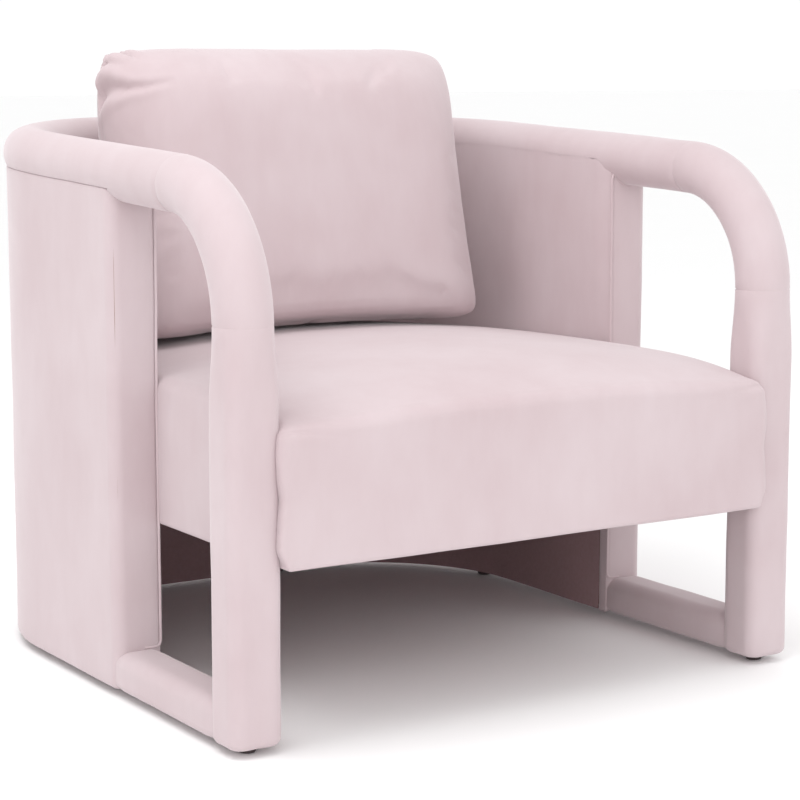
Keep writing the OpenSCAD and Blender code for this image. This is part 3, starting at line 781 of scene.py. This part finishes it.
def mirror_halves(bm):
    """Adds the left half of a right half that ends at x = 0."""
    for v in bm.verts:
        if abs(v.co.x) < 0.05 * MM:
            v.co.x = 0.0
    bmesh.ops.mirror(bm, geom=everything(bm), matrix=Matrix.Identity(4), merge_dist=0.02 * MM, axis="X")
    merge(bm, 0.02 * MM)


def carry_round(bm, edges, y, radius):
    """Carries a section back from y, round the corner and to the middle, then mirrors and closes it."""
    edges = run_along(bm, edges, Vector((0, corner_y - y, 0)))
    edges = turn(bm, edges, (corner_x, corner_y, 0), (0, 0, 1), math.pi / 2,
                 steps_in(radius * math.pi / 2))
    run_along(bm, edges, Vector((-corner_x, 0, 0)))
    merge(bm)
    mirror_halves(bm)
    close_ends(bm)


# %% Make the outside cover of the wall
END_RADIUS = 15 * MM
PROUD = 1.2 * MM
FOOT = 6 * MM


def make_outer_shell():
    bm = bmesh.new()
    inner_x = half_width - wall
    face_y = shell_front - PROUD
    round_x = half_width + PROUD / 2 - END_RADIUS
    edges = upright_loop(bm, Vector((inner_x, face_y, 0)), Vector((0, 1, 0)), FOOT, 2.2 * MM)
    edges = pull(bm, edges, Vector((3 * MM, 0, 0)), 2)
    across = round_x - inner_x - 6 * MM
    edges = pull(bm, edges, Vector((across / 4, 0, 0)), 4)
    edges = turn(bm, edges, (round_x, face_y + END_RADIUS, 0), (0, 0, 1), math.pi / 2, 10)
    carry_round(bm, edges, face_y + END_RADIUS, round_x + END_RADIUS - corner_x)
    fit_height(bm, seam_height, base_z + FOOT)
    for v in bm.verts:
        tuck_front_edge(v, inner_x)
    settle(bm)
    return bm


def tuck_front_edge(v, inner_x):
    """Rounds the end panel's inside edge back towards the piped seam."""
    if v.co.y < shell_front + 3 * MM:
        near = 1 - min(1.0, (abs(v.co.x) - inner_x) / (6 * MM))
        v.co.y += 3.2 * MM * near ** 2


finish_piece(make_outer_shell(), "outer_shell_cover", velvet, "chair", "outer_shell_cover",
             "end_panels", "outer_shell_wadding", fill=0.9)

# %% [markdown]
# At the foot the outside cover turns under the wall. That hem is a flat strip stapled below the bottom
# hoop, from just inside the rounded foot to near the inner face.

# %% Make the hem under the wall
HEM_IN = (7 * MM, 55 * MM)


def make_hem():
    bm = bmesh.new()
    outer_x, inner_x = [half_width - inset for inset in HEM_IN]
    low = base_z + 0.3 * MM
    corners = [(outer_x, low), (inner_x, low), (inner_x, low + CLOTH), (outer_x, low + CLOTH)]
    points = [bm.verts.new((x, shell_front + 2 * MM, z)) for x, z in corners]
    bm.verts.index_update()
    edges = [bm.edges.new(pair) for pair in zip(points, points[1:] + points[:1])]
    run = corner_y - shell_front - 2 * MM
    edges = pull(bm, edges, Vector((0, run / 12, 0)), 12)
    edges = turn(bm, edges, (corner_x, corner_y, 0), (0, 0, 1), math.pi / 2, 36)
    pull(bm, edges, Vector((-corner_x / 6, 0, 0)), 6)
    merge(bm)
    mirror_halves(bm)
    close_ends(bm)
    return bm


finish_piece(make_hem(), "wall_hem", velvet, "chair")

# %% [markdown]
# The inside cover faces the sitter. Its foam swells towards the top until it meets the widest part of
# the roll, so on this side wall and roll flow into each other with no ledge. It starts at the piped
# edge and stops at the seat.

# %% Make the inside cover of the wall
SWELL = roll_radius - wall / 2 + 0.3 * MM


def widest_height(p):
    """Height of the roll's centre line above a point of the plan."""
    return roll_z + math.tan(ARM_FALL) * p.y


def make_inner_shell():
    bm = bmesh.new()
    x = half_width - wall
    y0 = shell_front + 1.5 * MM
    low = seat_low.z
    edges = upright_loop(bm, Vector((x, y0, 0)), Vector((1, 0, 0)), FOOT / 2, 1.2 * MM)
    edges = pull(bm, edges, Vector((0, 3 * MM, 0)), 2)
    carry_round(bm, edges, y0 + 6 * MM, x - corner_x)
    for v in bm.verts:
        v.co.z += low - base_z if v.co.z < WALL_TOP - 6 * MM else 0
        v.co.z = min(v.co.z, WALL_TOP)
    fit_height(bm, widest_height, low + FOOT)
    for v in bm.verts:
        swell_inward(v, y0)
    settle(bm)
    return bm


def plan_normal(p):
    """The outward direction of the wall at a point of the plan."""
    if p.y <= corner_y:
        return Vector((math.copysign(1, p.x), 0, 0))
    if abs(p.x) <= corner_x:
        return Vector((0, 1, 0))
    return Vector((p.x - math.copysign(corner_x, p.x), p.y - corner_y, 0)).normalized()


def swell_inward(v, y0):
    """Pads out the inside cover, from nothing at the seat to the roll's own overhang."""
    seat_line = seat_low.z + 0.6 * (seat_high.z - seat_low.z)
    up = (v.co.z - seat_line) / (widest_height(v.co) - seat_line)
    forward = ease((v.co.y - y0) / (24 * MM))
    v.co -= plan_normal(v.co) * SWELL * ease(1.5 * up) * forward


finish_piece(make_inner_shell(), "inner_shell_cover", velvet, "chair", "inner_shell_cover",
             "inner_shell_foam", fill=0.85)

# %% [markdown]
# Below the seat a strip of velvet as wide as a thumb turns in from each front end, and the brown
# lining starts behind it. The strip is a flat bar with rounded edges.

# %% Make the turned-in strips
STRIP_WIDTH = 15 * MM


def make_strip():
    bm = bmesh.new()
    x = half_width - wall
    height = seat_low.z + 20 * MM - base_z
    centre = Vector((x + CLOTH / 2, shell_front + STRIP_WIDTH / 2 + 1 * MM, base_z + height / 2))
    bmesh.ops.create_cube(bm, size=1.0, matrix=Matrix.Translation(centre) @ Matrix.Diagonal(
        (CLOTH, STRIP_WIDTH, height, 1)))
    upright = [e for e in bm.edges if abs(e.verts[0].co.z - e.verts[1].co.z) > height / 2]
    bmesh.ops.subdivide_edges(bm, edges=upright, cuts=18)
    long_edges = [e for e in bm.edges if abs(e.verts[0].co.z - e.verts[1].co.z) > 1 * MM]
    bmesh.ops.bevel(bm, geom=long_edges, offset=0.6 * MM, offset_type="OFFSET", segments=3,
                    profile=0.5, affect="EDGES", material=-1)
    return bm


both_sides(make_strip, "turned_in_strip", velvet, "chair", [])

# %% [markdown]
# A thin piping hides the corner where end panel and inside cover meet. It runs in under the arm, turns
# down the inside edge, and turns again along the rail. Piping is cord in a sleeve of cloth, so it is a
# small circle carried along that route, loop by loop, each loop turned to face along the route.

# %% Make the piping
PIPING_RADIUS = 1.7 * MM
PIPING_TURN = 7 * MM


def carry_loop(bm, route, radius, sides=10):
    """Carries a circle along a route of points and closes both ends."""
    edges = circle(bm, radius, segments=sides)
    heading = (route[1] - route[0]).normalized()
    facing = Vector((0, 0, 1)).rotation_difference(heading).to_matrix().to_4x4()
    bmesh.ops.transform(bm, matrix=Matrix.Translation(route[0]) @ facing, verts=verts_of(edges))
    for i in range(1, len(route)):
        edges = pull(bm, edges, route[i] - route[i - 1])
        ahead = route[min(i + 1, len(route) - 1)] - route[i - 1]
        swing = heading.rotation_difference(ahead.normalized()).to_matrix()
        bmesh.ops.rotate(bm, cent=route[i], matrix=swing, verts=verts_of(edges))
        heading = ahead.normalized()
    close_ends(bm)


def piping_route():
    """Along under the arm, down the inside edge of the end, and along the rail."""
    x = half_width - wall + 0.2 * MM
    y = shell_front - 0.6 * MM
    top = seam_height(Vector((0, y, 0))) - 2 * MM
    low = rail_top + 0.5 * MM
    route = []
    for i in range(6):
        out = 26 * MM * (1 - i / 5)
        aside = wall / 2 - out - 1.5 * MM
        under = roll_z + math.tan(ARM_FALL) * y - math.sqrt(roll_radius ** 2 - aside ** 2)
        route.append(Vector((x + PIPING_TURN * 0.3 + out, y, min(under, top) - 0.8 * MM)))
    count = round((top - low - 2 * PIPING_TURN) / (10 * MM))
    for i in range(count + 1):
        route.append(Vector((x, y, top - PIPING_TURN + (low - top + 2 * PIPING_TURN) * i / count)))
    for i in range(1, 6):
        bend = math.radians(18 * i)
        route.append(Vector((x + PIPING_TURN * (1 - math.cos(bend)), y,
                             low + PIPING_TURN * (1 - math.sin(bend)))))
    route.append(Vector((x + 3 * PIPING_TURN, y, low)))
    return route


def make_piping():
    bm = bmesh.new()
    carry_loop(bm, piping_route(), PIPING_RADIUS)
    return bm


# Its velvet is painted a touch paler than the rest, a painted highlight along the seam.
both_sides(make_piping, "edge_piping", piping_velvet_painted_highlight, "chair", [])
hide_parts("edge_welts")

# %% [markdown]
# ## The seat
# The seat is one block: timber box, springs and a thick foam, under a single velvet cover. Its plan is
# the inside of the wall, square at the front and round at the back. It starts as a cube, cut into rows
# that lie closer near the edges, and every row is then laid on the upholstered shape: a crowned top
# that dips towards the front edge, sides that swell where no wall holds them, a front that falls
# straight to the dust cloth, and corners that spread a little where they press on the legs.

# %% Cut the block
SEAT_SIDE = half_width - wall - 0.6 * MM
BACK_RADIUS = CORNER_RADIUS - wall - 2 * MM
TOP_RADIUS = 13 * MM
SIDE_RADIUS = 7 * MM
BOTTOM_RADIUS = 4.5 * MM
CROWN = 24 * MM
RIM = 375 * MM
HIGHEST_Y = -178 * MM
seat_front = seat_low.y
seat_foot = seat_low.z


def close_rows(count, edge, span, near):
    """Places from 0 to 1, count in the middle and near extra ones towards each end."""
    ends = [edge * (i / near) ** 1.4 / span for i in range(near)]
    inner = [edge / span + (1 - 2 * edge / span) * i / count for i in range(count + 1)]
    return ends + inner + [1 - e for e in reversed(ends)]


def slice_block(bm, places, axis):
    """Cuts a unit cube that runs from 0 to 1 along one axis, at each place."""
    normal = Vector([1.0 if i == axis else 0.0 for i in range(3)])
    for place in places:
        bmesh.ops.bisect_plane(bm, geom=everything(bm),
                               plane_co=normal * place, plane_no=normal, dist=1e-6)


# %% [markdown]
# Each vertex of the cut cube is a place u across, v along and w up. The plan gives its x and y, and
# the crown its z. Edges are rounded by the usual rounded box: clamp the point to a smaller box and
# push it out by the radius.

# %% Lay the block on the seat's shape
def seat_half_width(y):
    """Half the width of the seat at y, narrowing round the back corners."""
    if y <= corner_y:
        return SEAT_SIDE
    depth = min(y - corner_y, BACK_RADIUS)
    return corner_x + math.sqrt(max(0.0, BACK_RADIUS ** 2 - depth ** 2))


seat_back = corner_y + BACK_RADIUS


def seat_top(x, y, half):
    """Height of the crowned top."""
    behind = y - HIGHEST_Y
    if behind > 0:
        level = RIM - 12 * MM * (behind / (384 * MM)) ** 2
        crown = CROWN
    else:
        ahead = -behind / (236.5 * MM)
        level = RIM - 21 * MM * ahead ** 3
        crown = CROWN * (1 - 0.45 * ahead ** 2)
    return level + crown * (1 - min(1.0, abs(x) / half) ** 2.2)


def make_seat():
    bm = bmesh.new()
    bmesh.ops.create_cube(bm, size=1.0, matrix=Matrix.Translation((0.5, 0.5, 0.5)))
    slice_block(bm, close_rows(44, 26 * MM, 2 * SEAT_SIDE, 9), 0)
    slice_block(bm, close_rows(50, 26 * MM, seat_back - seat_front, 9), 1)
    slice_block(bm, close_rows(14, 26 * MM, 170 * MM, 9), 2)
    for v in bm.verts:
        v.co = seat_point(*v.co)
    for v in bm.verts:
        press_seat(v)
    merge(bm, 0.02 * MM)
    settle(bm, 0.8)
    return bm


def seat_point(u, v, w):
    """A place of the unit cube on the rounded seat."""
    span = seat_back - seat_front
    raw = Vector(((2 * u - 1) * SEAT_SIDE, seat_front + v * span, seat_foot + w * (RIM - seat_foot)))
    radius = (BOTTOM_RADIUS + (SIDE_RADIUS - BOTTOM_RADIUS) * ease(w / 0.2)
              + (TOP_RADIUS - SIDE_RADIUS) * ease((w - 0.6) / 0.3))
    low = Vector((-SEAT_SIDE + radius, seat_front + radius, seat_foot + BOTTOM_RADIUS))
    high = Vector((SEAT_SIDE - radius, seat_back - radius, RIM - TOP_RADIUS))
    core = Vector([min(max(r, a), b) for r, a, b in zip(raw, low, high)])
    out = raw - core
    p = core + out.normalized() * radius
    half = seat_half_width(p.y)
    p.x *= half / SEAT_SIDE
    share = max(0.0, (p.z - seat_foot) / (RIM - seat_foot))
    top = seat_top(p.x, p.y, half)
    p.z += (top - RIM) * ease((share - 0.35) / 0.65)
    return p


# %% [markdown]
# Pressure shapes it too. In the two windows nothing holds the sides, so they swell. At the front the
# corners rest against the rounded backs of the legs and spread a little way round them.

# %% Press and swell the seat
WINDOW_SWELL = 6 * MM
CORNER_SPREAD = 9 * MM


def press_seat(v):
    p = v.co
    side = math.copysign(1, p.x)
    near_side = ease((abs(p.x) - SEAT_SIDE + 60 * MM) / (60 * MM))
    up = (p.z - seat_foot) / (seat_high.z - CROWN - seat_foot)
    belly = math.sin(math.pi * min(1.0, max(0.0, up))) ** 0.8
    along = (p.y - leg_high.y) / (shell_front - leg_high.y)
    if 0 < along < 1:
        v.co.x += side * near_side * belly * WINDOW_SWELL * math.sin(math.pi * along) ** 0.6
    ahead = ease((leg_low.y + 20 * MM - p.y) / (24 * MM))
    uneven = noise.noise(Vector((side * 3, 0, p.z / (40 * MM))))
    ripple = 0.75 + 0.25 * math.sin(p.z / (16 * MM) + 2 * uneven)
    upright = ease(up / 0.15) * ease((1.25 - up) / 0.3)
    v.co.x += side * near_side * ahead * CORNER_SPREAD * ripple * upright
    v.co.y += seam_dip(p)


def seam_dip(p):
    """The sewn line across the top of the front, deep at the corners and fading to nothing."""
    if p.y > seat_front + 12 * MM:
        return 0.0
    reach = (SEAT_SIDE - abs(p.x)) / (110 * MM)
    height = 352 * MM - 10 * MM * ease(reach)
    groove = math.exp(-((p.z - height) / (2.8 * MM)) ** 2)
    return 2.6 * MM * groove * (1 - ease(reach / 1.1))


finish_piece(make_seat(), "seat_case", velvet, "chair", "seat_cover", "seat_foam", "seat_border_foam",
             fill=0.9)

# %% [markdown]
# ## Dust cloth, lining and glides
# Under the seat a square of cambric is stapled to the rails, and sags a few millimetres in its middle.
# A second length lines the wall below the seat. Both are single sheets, so each starts as a flat grid
# of its cut size, is laid in place, and only then gets its thickness.

# %% Stretch the dust cloth
SAG = 4 * MM
DUST_INSET = 9 * MM
CAMBRIC = 0.8 * MM


def thicken(bm):
    bmesh.ops.recalc_face_normals(bm, faces=bm.faces)
    bmesh.ops.solidify(bm, geom=everything(bm), thickness=CAMBRIC)


def make_dust_cloth():
    """Gives the cloth and its flat area."""
    bm = bmesh.new()
    low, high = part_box("seat_dust_cover")
    bmesh.ops.create_grid(bm, x_segments=56, y_segments=60, size=0.5,
                          matrix=Matrix.Translation((0.5, 0.5, 0)))
    for v in bm.verts:
        u, w = v.co.x, v.co.y
        y = low.y + DUST_INSET + w * (high.y - low.y - 2 * DUST_INSET)
        half = min(high.x, seat_half_width(y)) - DUST_INSET
        sag = SAG * math.sqrt(max(0.0, 16 * u * (1 - u) * w * (1 - w)))
        v.co = Vector(((2 * u - 1) * half, y, high.z - CAMBRIC - sag))
    area = sum(f.calc_area() for f in bm.faces)
    thicken(bm)
    return bm, area, high - low - Vector((2, 2, 0)) * DUST_INSET


cloth_bm, cloth_area, cloth_size = make_dust_cloth()
dust_cloth = finish_piece(cloth_bm, "dust_cloth", cambric, "chair", "seat_dust_cover", slot="cambric")
print(f"dust cloth {cloth_size.x:.3f} x {cloth_size.y:.3f} m, {cloth_area:.3f} m2")


# %% Line the wall below the seat
def make_lining():
    """A strip carried round the inside of the wall, from one turned-in velvet strip to the other."""
    bm = bmesh.new()
    low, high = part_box("shell_lining")
    x = high.x - 0.4 * MM
    height = high.z - low.z
    bmesh.ops.create_grid(bm, x_segments=1, y_segments=12, size=0.5)
    bmesh.ops.delete(bm, geom=[v for v in bm.verts if v.co.x > 0], context="VERTS")
    for v in bm.verts:
        v.co = Vector((x, low.y + 1 * MM, low.z + (v.co.y + 0.5) * height))
    edges = sorted(bm.edges, key=lambda e: e.index)
    run = corner_y - low.y - 1 * MM
    edges = pull_open(bm, edges, Vector((0, run / 30, 0)), 30)
    spun = bmesh.ops.spin(bm, geom=verts_of(edges) + edges, cent=(corner_x, corner_y, 0), axis=(0, 0, 1),
                          dvec=(0, 0, 0), angle=math.pi / 2, steps=40, use_merge=False)
    edges = [g for g in spun["geom_last"] if isinstance(g, bmesh.types.BMEdge)]
    bm.verts.index_update()
    pull_open(bm, edges, Vector((-corner_x / 12, 0, 0)), 12)
    merge(bm)
    mirror_halves(bm)
    length = 2 * (run + (x - corner_x) * math.pi / 2 + corner_x)
    for v in bm.verts:
        v.co -= plan_normal(v.co) * (1.2 * MM + 1.4 * MM * noise.noise(v.co / (90 * MM)))
    thicken(bm)
    return bm, length, height


def pull_open(bm, edges, step, count):
    """Pulls a row of edges that doesn't close on itself."""
    for _ in range(count):
        geom = bmesh.ops.extrude_edge_only(bm, edges=edges)["geom"]
        fresh = {g for g in geom if isinstance(g, bmesh.types.BMVert)}
        edges = [g for g in geom if isinstance(g, bmesh.types.BMEdge) and set(g.verts) <= fresh
                 and len(g.link_faces) == 1]
        bm.verts.index_update()
        bmesh.ops.translate(bm, vec=step, verts=list(fresh))
    return edges


lining_bm, lining_length, lining_height = make_lining()
lining = finish_piece(lining_bm, "wall_lining", cambric, "chair", "shell_lining", slot="cambric")
print(f"lining {lining_height:.3f} x {lining_length:.3f} m")

# %% [markdown]
# Six moulded glides stand under the legs and the wall. Each is a short button with a rounded lower
# edge, spun from its half section, and its nail hides in the leg above.

# %% Spin the glides
GLIDE_SECTION = [(0, 0), (7.6, 0), (8.8, 0.5), (9.6, 1.6), (9.9, 3.2), (10, 6.4), (10, 8.9), (0, 8.9)]


def make_glide(place):
    bm = bmesh.new()
    points = [bm.verts.new(Vector((x * MM, 0, z * MM))) for x, z in GLIDE_SECTION]
    rows = [bm.edges.new(pair) for pair in zip(points, points[1:])]
    bmesh.ops.spin(bm, geom=points + rows, cent=(0, 0, 0), axis=(0, 0, 1), dvec=(0, 0, 0),
                   angle=2 * math.pi, steps=28, use_merge=True)
    merge(bm)
    bmesh.ops.translate(bm, vec=place, verts=bm.verts)
    return bm


def loose_parts(node):
    """The middle of each separate solid of a node, in a fixed order."""
    bm = bmesh.new()
    bm.from_mesh(node.data)
    merge(bm, 0.001 * MM)
    waiting, middles = set(bm.verts), []
    while waiting:
        patch, edge = set(), [waiting.pop()]
        while edge:
            v = edge.pop()
            patch.add(v)
            fresh = {e.other_vert(v) for e in v.link_edges} & waiting
            waiting -= fresh
            edge += list(fresh)
        xs, ys = [p.co.x for p in patch], [p.co.y for p in patch]
        middles.append((round((min(xs) + max(xs)) / 2, 5), round((min(ys) + max(ys)) / 2, 5)))
    bm.free()
    return sorted(middles)


glide_places = loose_parts(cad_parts["glide_pads"])
for number, (x, y) in enumerate(glide_places):
    names = ["glide_pads"] if number == 0 else []
    finish_piece(make_glide((x, y, 0)), f"glide_{number + 1}", glide_plastic, "chair", *names,
                 slot="glide_plastic")

# %% [markdown]
# ## The loose cushion
# The cushion is two panels of velvet sewn round their edge and stuffed tight with fibre. Stuffing
# makes such a case round at the top, almost flat in the middle and thin at the seams, with the sides
# drawn in between the corners. It leans back a little, and its own weight spreads the foot.
#
# It starts as a flat grid, laid on that form as the front panel. The mirrored grid is the back. Cloth
# simulation then puffs it under a light pressure, and that gives the uneven swelling of a real one.

# %% Lay out the two panels
CUSHION_LEAN = math.radians(8)
CUSHION_HEIGHT = 363 * MM
CUSHION_HALF_DEPTH = 86 * MM
CUSHION_CREST_HALF = 271 * MM
CUSHION_FOOT_HALF = 273 * MM
CUSHION_BACK = 88 * MM
ZIP_RISE = 110 * MM
FOOT_DROOP = 15 * MM
CORNER_DROOP = 16 * MM
WAIST = 6 * MM
ASIDE = 4 * MM

zip_low, zip_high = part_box("zip_tape")
zip_middle = (zip_low + zip_high) / 2
cushion_turn = Matrix.Rotation(-CUSHION_LEAN, 4, "X")
on_zip = cushion_turn @ Vector((0, CUSHION_BACK + 1.4 * MM, ZIP_RISE))
cushion_place = Matrix.Translation(Vector((0, zip_middle.y, zip_middle.z)) - on_zip) @ cushion_turn


def panel_point(u, v):
    """A place of the front panel: u from -1 to 1 across, v from 0 at the foot to 1 at the crest."""
    half = CUSHION_FOOT_HALF + (CUSHION_CREST_HALF - CUSHION_FOOT_HALF) * v
    half -= WAIST * math.sin(math.pi * v)
    from_middle = 2 * v - 1
    boxy = 5 if from_middle > 0 else 18
    thin = (1 - abs(u) ** (3.2 + 8 * (1 - v) ** 2)) * (1 - abs(from_middle) ** boxy)
    corner = 15 * MM * abs(u) ** 7 * v ** 7
    depth = CUSHION_HALF_DEPTH * math.sqrt(max(0.0, thin))
    droop = (FOOT_DROOP + CORNER_DROOP * u * u) * (depth / CUSHION_HALF_DEPTH) * (1 - v) ** 3
    return Vector((u * half - math.copysign(corner, u) - ASIDE, -depth,
                   v * CUSHION_HEIGHT - corner - droop))


def lay_panels():
    bm = bmesh.new()
    bmesh.ops.create_grid(bm, x_segments=72, y_segments=48, size=1.0)
    for v in bm.verts:
        u = math.sin(v.co.x * math.pi / 2)
        w = 0.5 + 0.5 * math.sin(v.co.y * math.pi / 2)
        v.co = panel_point(u, w)
    bmesh.ops.mirror(bm, geom=everything(bm), matrix=Matrix.Identity(4), merge_dist=0.05 * MM, axis="Y")
    merge(bm, 0.05 * MM)
    bmesh.ops.recalc_face_normals(bm, faces=bm.faces)
    return bm


# %% [markdown]
# The puffing works on a copy made of even little squares, because long thin faces swell badly. No
# gravity acts, as the seat carries the cushion, and no point may travel more than the cap.

# %% Puff it up
VOXEL = 6 * MM
CAP = 5 * MM
LAST_FRAME = 20


def evaluated_copy(shape):
    """The mesh of an object with its modifiers applied."""
    seen = shape.evaluated_get(bpy.context.evaluated_depsgraph_get())
    return bpy.data.meshes.new_from_object(seen)


def remeshed(shape, size):
    squares = shape.modifiers.new("squares", "REMESH")
    squares.mode = "VOXEL"
    squares.voxel_size = size
    mesh = evaluated_copy(shape)
    shape.modifiers.clear()
    return mesh


def puffed(shape, pressure):
    """Runs the cloth under pressure, caps each point's travel and leaves a plain mesh."""
    before = [v.co.copy() for v in shape.data.vertices]
    cloth = shape.modifiers.new("puff", "CLOTH")
    cloth.settings.use_pressure = True
    cloth.settings.uniform_pressure_force = pressure
    cloth.settings.effector_weights.gravity = 0
    cloth.settings.quality = 5
    cloth.point_cache.frame_start = 1
    cloth.point_cache.frame_end = LAST_FRAME
    for frame_number in range(1, LAST_FRAME + 1):
        bpy.context.scene.frame_set(frame_number)
    after = evaluated_copy(shape)
    shape.modifiers.clear()
    bpy.context.scene.frame_set(1)
    furthest = 0.0
    for v, old in zip(after.vertices, before):
        travel = v.co - old
        furthest = max(furthest, travel.length)
        if travel.length > CAP:
            v.co = old + travel.normalized() * CAP
    print(f"puffed {len(before)} points, furthest {furthest / MM:.1f} mm")
    return after


def make_cushion_form():
    shape = as_object(lay_panels(), "cushion_form")
    shape.data = remeshed(shape, VOXEL)
    shape.data = puffed(shape, 4.0)
    finer = shape.modifiers.new("finer", "SUBSURF")
    finer.levels = finer.render_levels = 1
    mesh = evaluated_copy(shape)
    bpy.data.objects.remove(shape)
    bm = bmesh.new()
    bm.from_mesh(mesh)
    return bm


# %% [markdown]
# Sewing and use leave their marks after the stuffing. The seam is a fine groove all round the edge.
# The foot is pressed to the shape of the seat, and the back lies flat along its zip. The crest's left
# corner was pulled into gathers when the case was turned out, so curved creases run in from it. They
# are drawn on the plane of x and of height plus depth, which unrolls the rounded crest.

# %% Press, flatten and crease the cushion
SEAT_GAP = 1.0 * MM
CURL = 14 * MM
CREASES = [
    ([(-240, 362), (-230, 342), (-226, 322), (-224, 304)], 8.0, 4.2),
    ([(-276, 326), (-267, 306), (-258, 284), (-247, 266), (-226, 250), (-190, 240)], 10.0, 5.0),
    ([(-258, 348), (-251, 326), (-244, 304)], 6.0, 3.8),
]


def distance_to_route(p, route):
    """The distance to a route of points, and how far along it the nearest place is, 0 to 1."""
    best, along = 1.0, 0.0
    for i in range(len(route) - 1):
        a, b = route[i], route[i + 1]
        t = min(1.0, max(0.0, (p - a).dot(b - a) / (b - a).length_squared))
        gap = (p - (a + (b - a) * t)).length
        if gap < best:
            best, along = gap, (i + t) / (len(route) - 1)
    return best, along


def finish_form(bm):
    bm.normal_update()
    creases = [([Vector((x, s, 0)) * MM for x, s in route], depth * MM, width * MM)
               for route, depth, width in CREASES]
    for v in bm.verts:
        p = v.co.copy()
        normal = v.normal.copy()
        if p.z > 12 * MM:
            v.co -= normal * 1.5 * MM * math.exp(-(p.y / (2.2 * MM)) ** 2)
        if p.x < -150 * MM and p.z > 240 * MM and p.y < 6 * MM:
            for route, depth, width in creases:
                gap, along = distance_to_route(Vector((p.x, p.z + p.y, 0)), route)
                fade = (1 - along) ** 0.8
                valley = math.exp(-(gap / width) ** 2)
                ridge = math.exp(-((gap - 2.2 * width) / (1.3 * width)) ** 2)
                v.co -= normal * depth * fade * valley
                v.co += normal * 0.45 * depth * fade * ridge
        lie_flat(v)
    bmesh.ops.transform(bm, matrix=cushion_place, verts=bm.verts)
    for v in bm.verts:
        press_foot(v)


def lie_flat(v):
    """Keeps the back flat under the zip, which its slider needs, and nowhere proud of it."""
    near = ease((60 * MM - abs(v.co.z - ZIP_RISE)) / (40 * MM))
    near *= ease((250 * MM - abs(v.co.x)) / (26 * MM))
    if v.co.y > 40 * MM:
        v.co.y += (CUSHION_BACK - v.co.y) * near
        v.co.y = min(v.co.y, CUSHION_BACK + (1 - near) * 6 * MM)


def press_foot(v):
    """Lifts whatever would sink into the seat, and lets the lowest edge rest on it."""
    top = seat_top(v.co.x, v.co.y, seat_half_width(v.co.y)) + SEAT_GAP
    above = v.co.z - top
    if above < CURL:
        v.co.z = top + CURL * ease_in(above / CURL)


def ease_in(t):
    """Like t above 1, but bends smoothly to a floor at 0."""
    return 0.0 if t < -1 else (t + 1) ** 2 / 4


cushion_bm = make_cushion_form()
finish_form(cushion_bm)
finish_piece(cushion_bm, "cushion_case", velvet, "cushion", "cushion_cover", "cushion_insert", fill=0.8)

# %% [markdown]
# ## Floor, light and camera
# A near-white floor runs far past the view, under a bright even sky, as in a studio cove. One
# large soft lamp stands high at the front left and gives the form its gentle shadows, a weaker one
# fills from the right, and a third hangs over the chair and catches the tops of the roll and arms.

# %% Lay the floor
FLOOR_SIZE = 90.0
CHAIR_MIDDLE = Vector((0, 0, 0.36))

floor_bm = bmesh.new()
bmesh.ops.create_grid(floor_bm, x_segments=2, y_segments=2, size=FLOOR_SIZE / 2)
floor = as_object(floor_bm, "floor")
floor_finish, floor_tree, floor_place = new_finish("pale_floor")
floor_cloud = grain(floor_tree, floor_place, 0.6)
floor_tone = blend_of(floor_tree, floor_cloud, colour("#fafafa"), colour("#fcfcfc"))
shade(floor_tree, floor_tone.outputs["Color"], 0.7, Specular_IOR_Level=0.2)
floor.data.materials.append(floor_finish)

# %% Light it softly
SKY_STRENGTH = 1.02
WHITE = (1.0, 1.0, 1.0, 1.0)


def soft_lamp(name, place, size, power):
    """A square lamp that faces the middle of the chair."""
    data = bpy.data.lights.new(name, "AREA")
    data.shape = "SQUARE"
    data.size = size
    data.energy = power
    lamp = bpy.data.objects.new(name, data)
    lamp.location = place
    lamp.rotation_euler = (CHAIR_MIDDLE - Vector(place)).to_track_quat("-Z", "Y").to_euler()
    bpy.context.scene.collection.objects.link(lamp)


sky = bpy.data.worlds.new("studio_sky")
sky.use_nodes = True
backdrop = sky.node_tree.nodes["Background"]
backdrop.inputs["Color"].default_value = WHITE
backdrop.inputs["Strength"].default_value = SKY_STRENGTH
bpy.context.scene.world = sky
soft_lamp("key_lamp", (-1.5, -3.3, 1.7), 1.8, 27)
soft_lamp("fill_lamp", (2.6, -2.4, 1.5), 2.0, 5)
soft_lamp("top_lamp", (-1.0, -0.4, 2.5), 1.6, 22)
bpy.context.scene.view_settings.view_transform = "Standard"

# %% [markdown]
# The camera stands well back with a long lens, a little above the arms and to the chair's right, so
# that upright edges stay upright and the near arm hides part of the seat.

# %% Place the camera
AZIMUTH = math.radians(-32.5292)
ELEVATION = math.radians(8.4608)

camera_data = bpy.data.cameras.new("photographers_camera")
camera_data.lens = 102.1545
camera_data.sensor_width = 36.0
camera = bpy.data.objects.new("photographers_camera", camera_data)
camera.location = (-1.49965, -2.46601, 0.73890)
camera.rotation_euler = (math.pi / 2 - ELEVATION, 0, AZIMUTH)
bpy.context.scene.collection.objects.link(camera)
bpy.context.scene.camera = camera
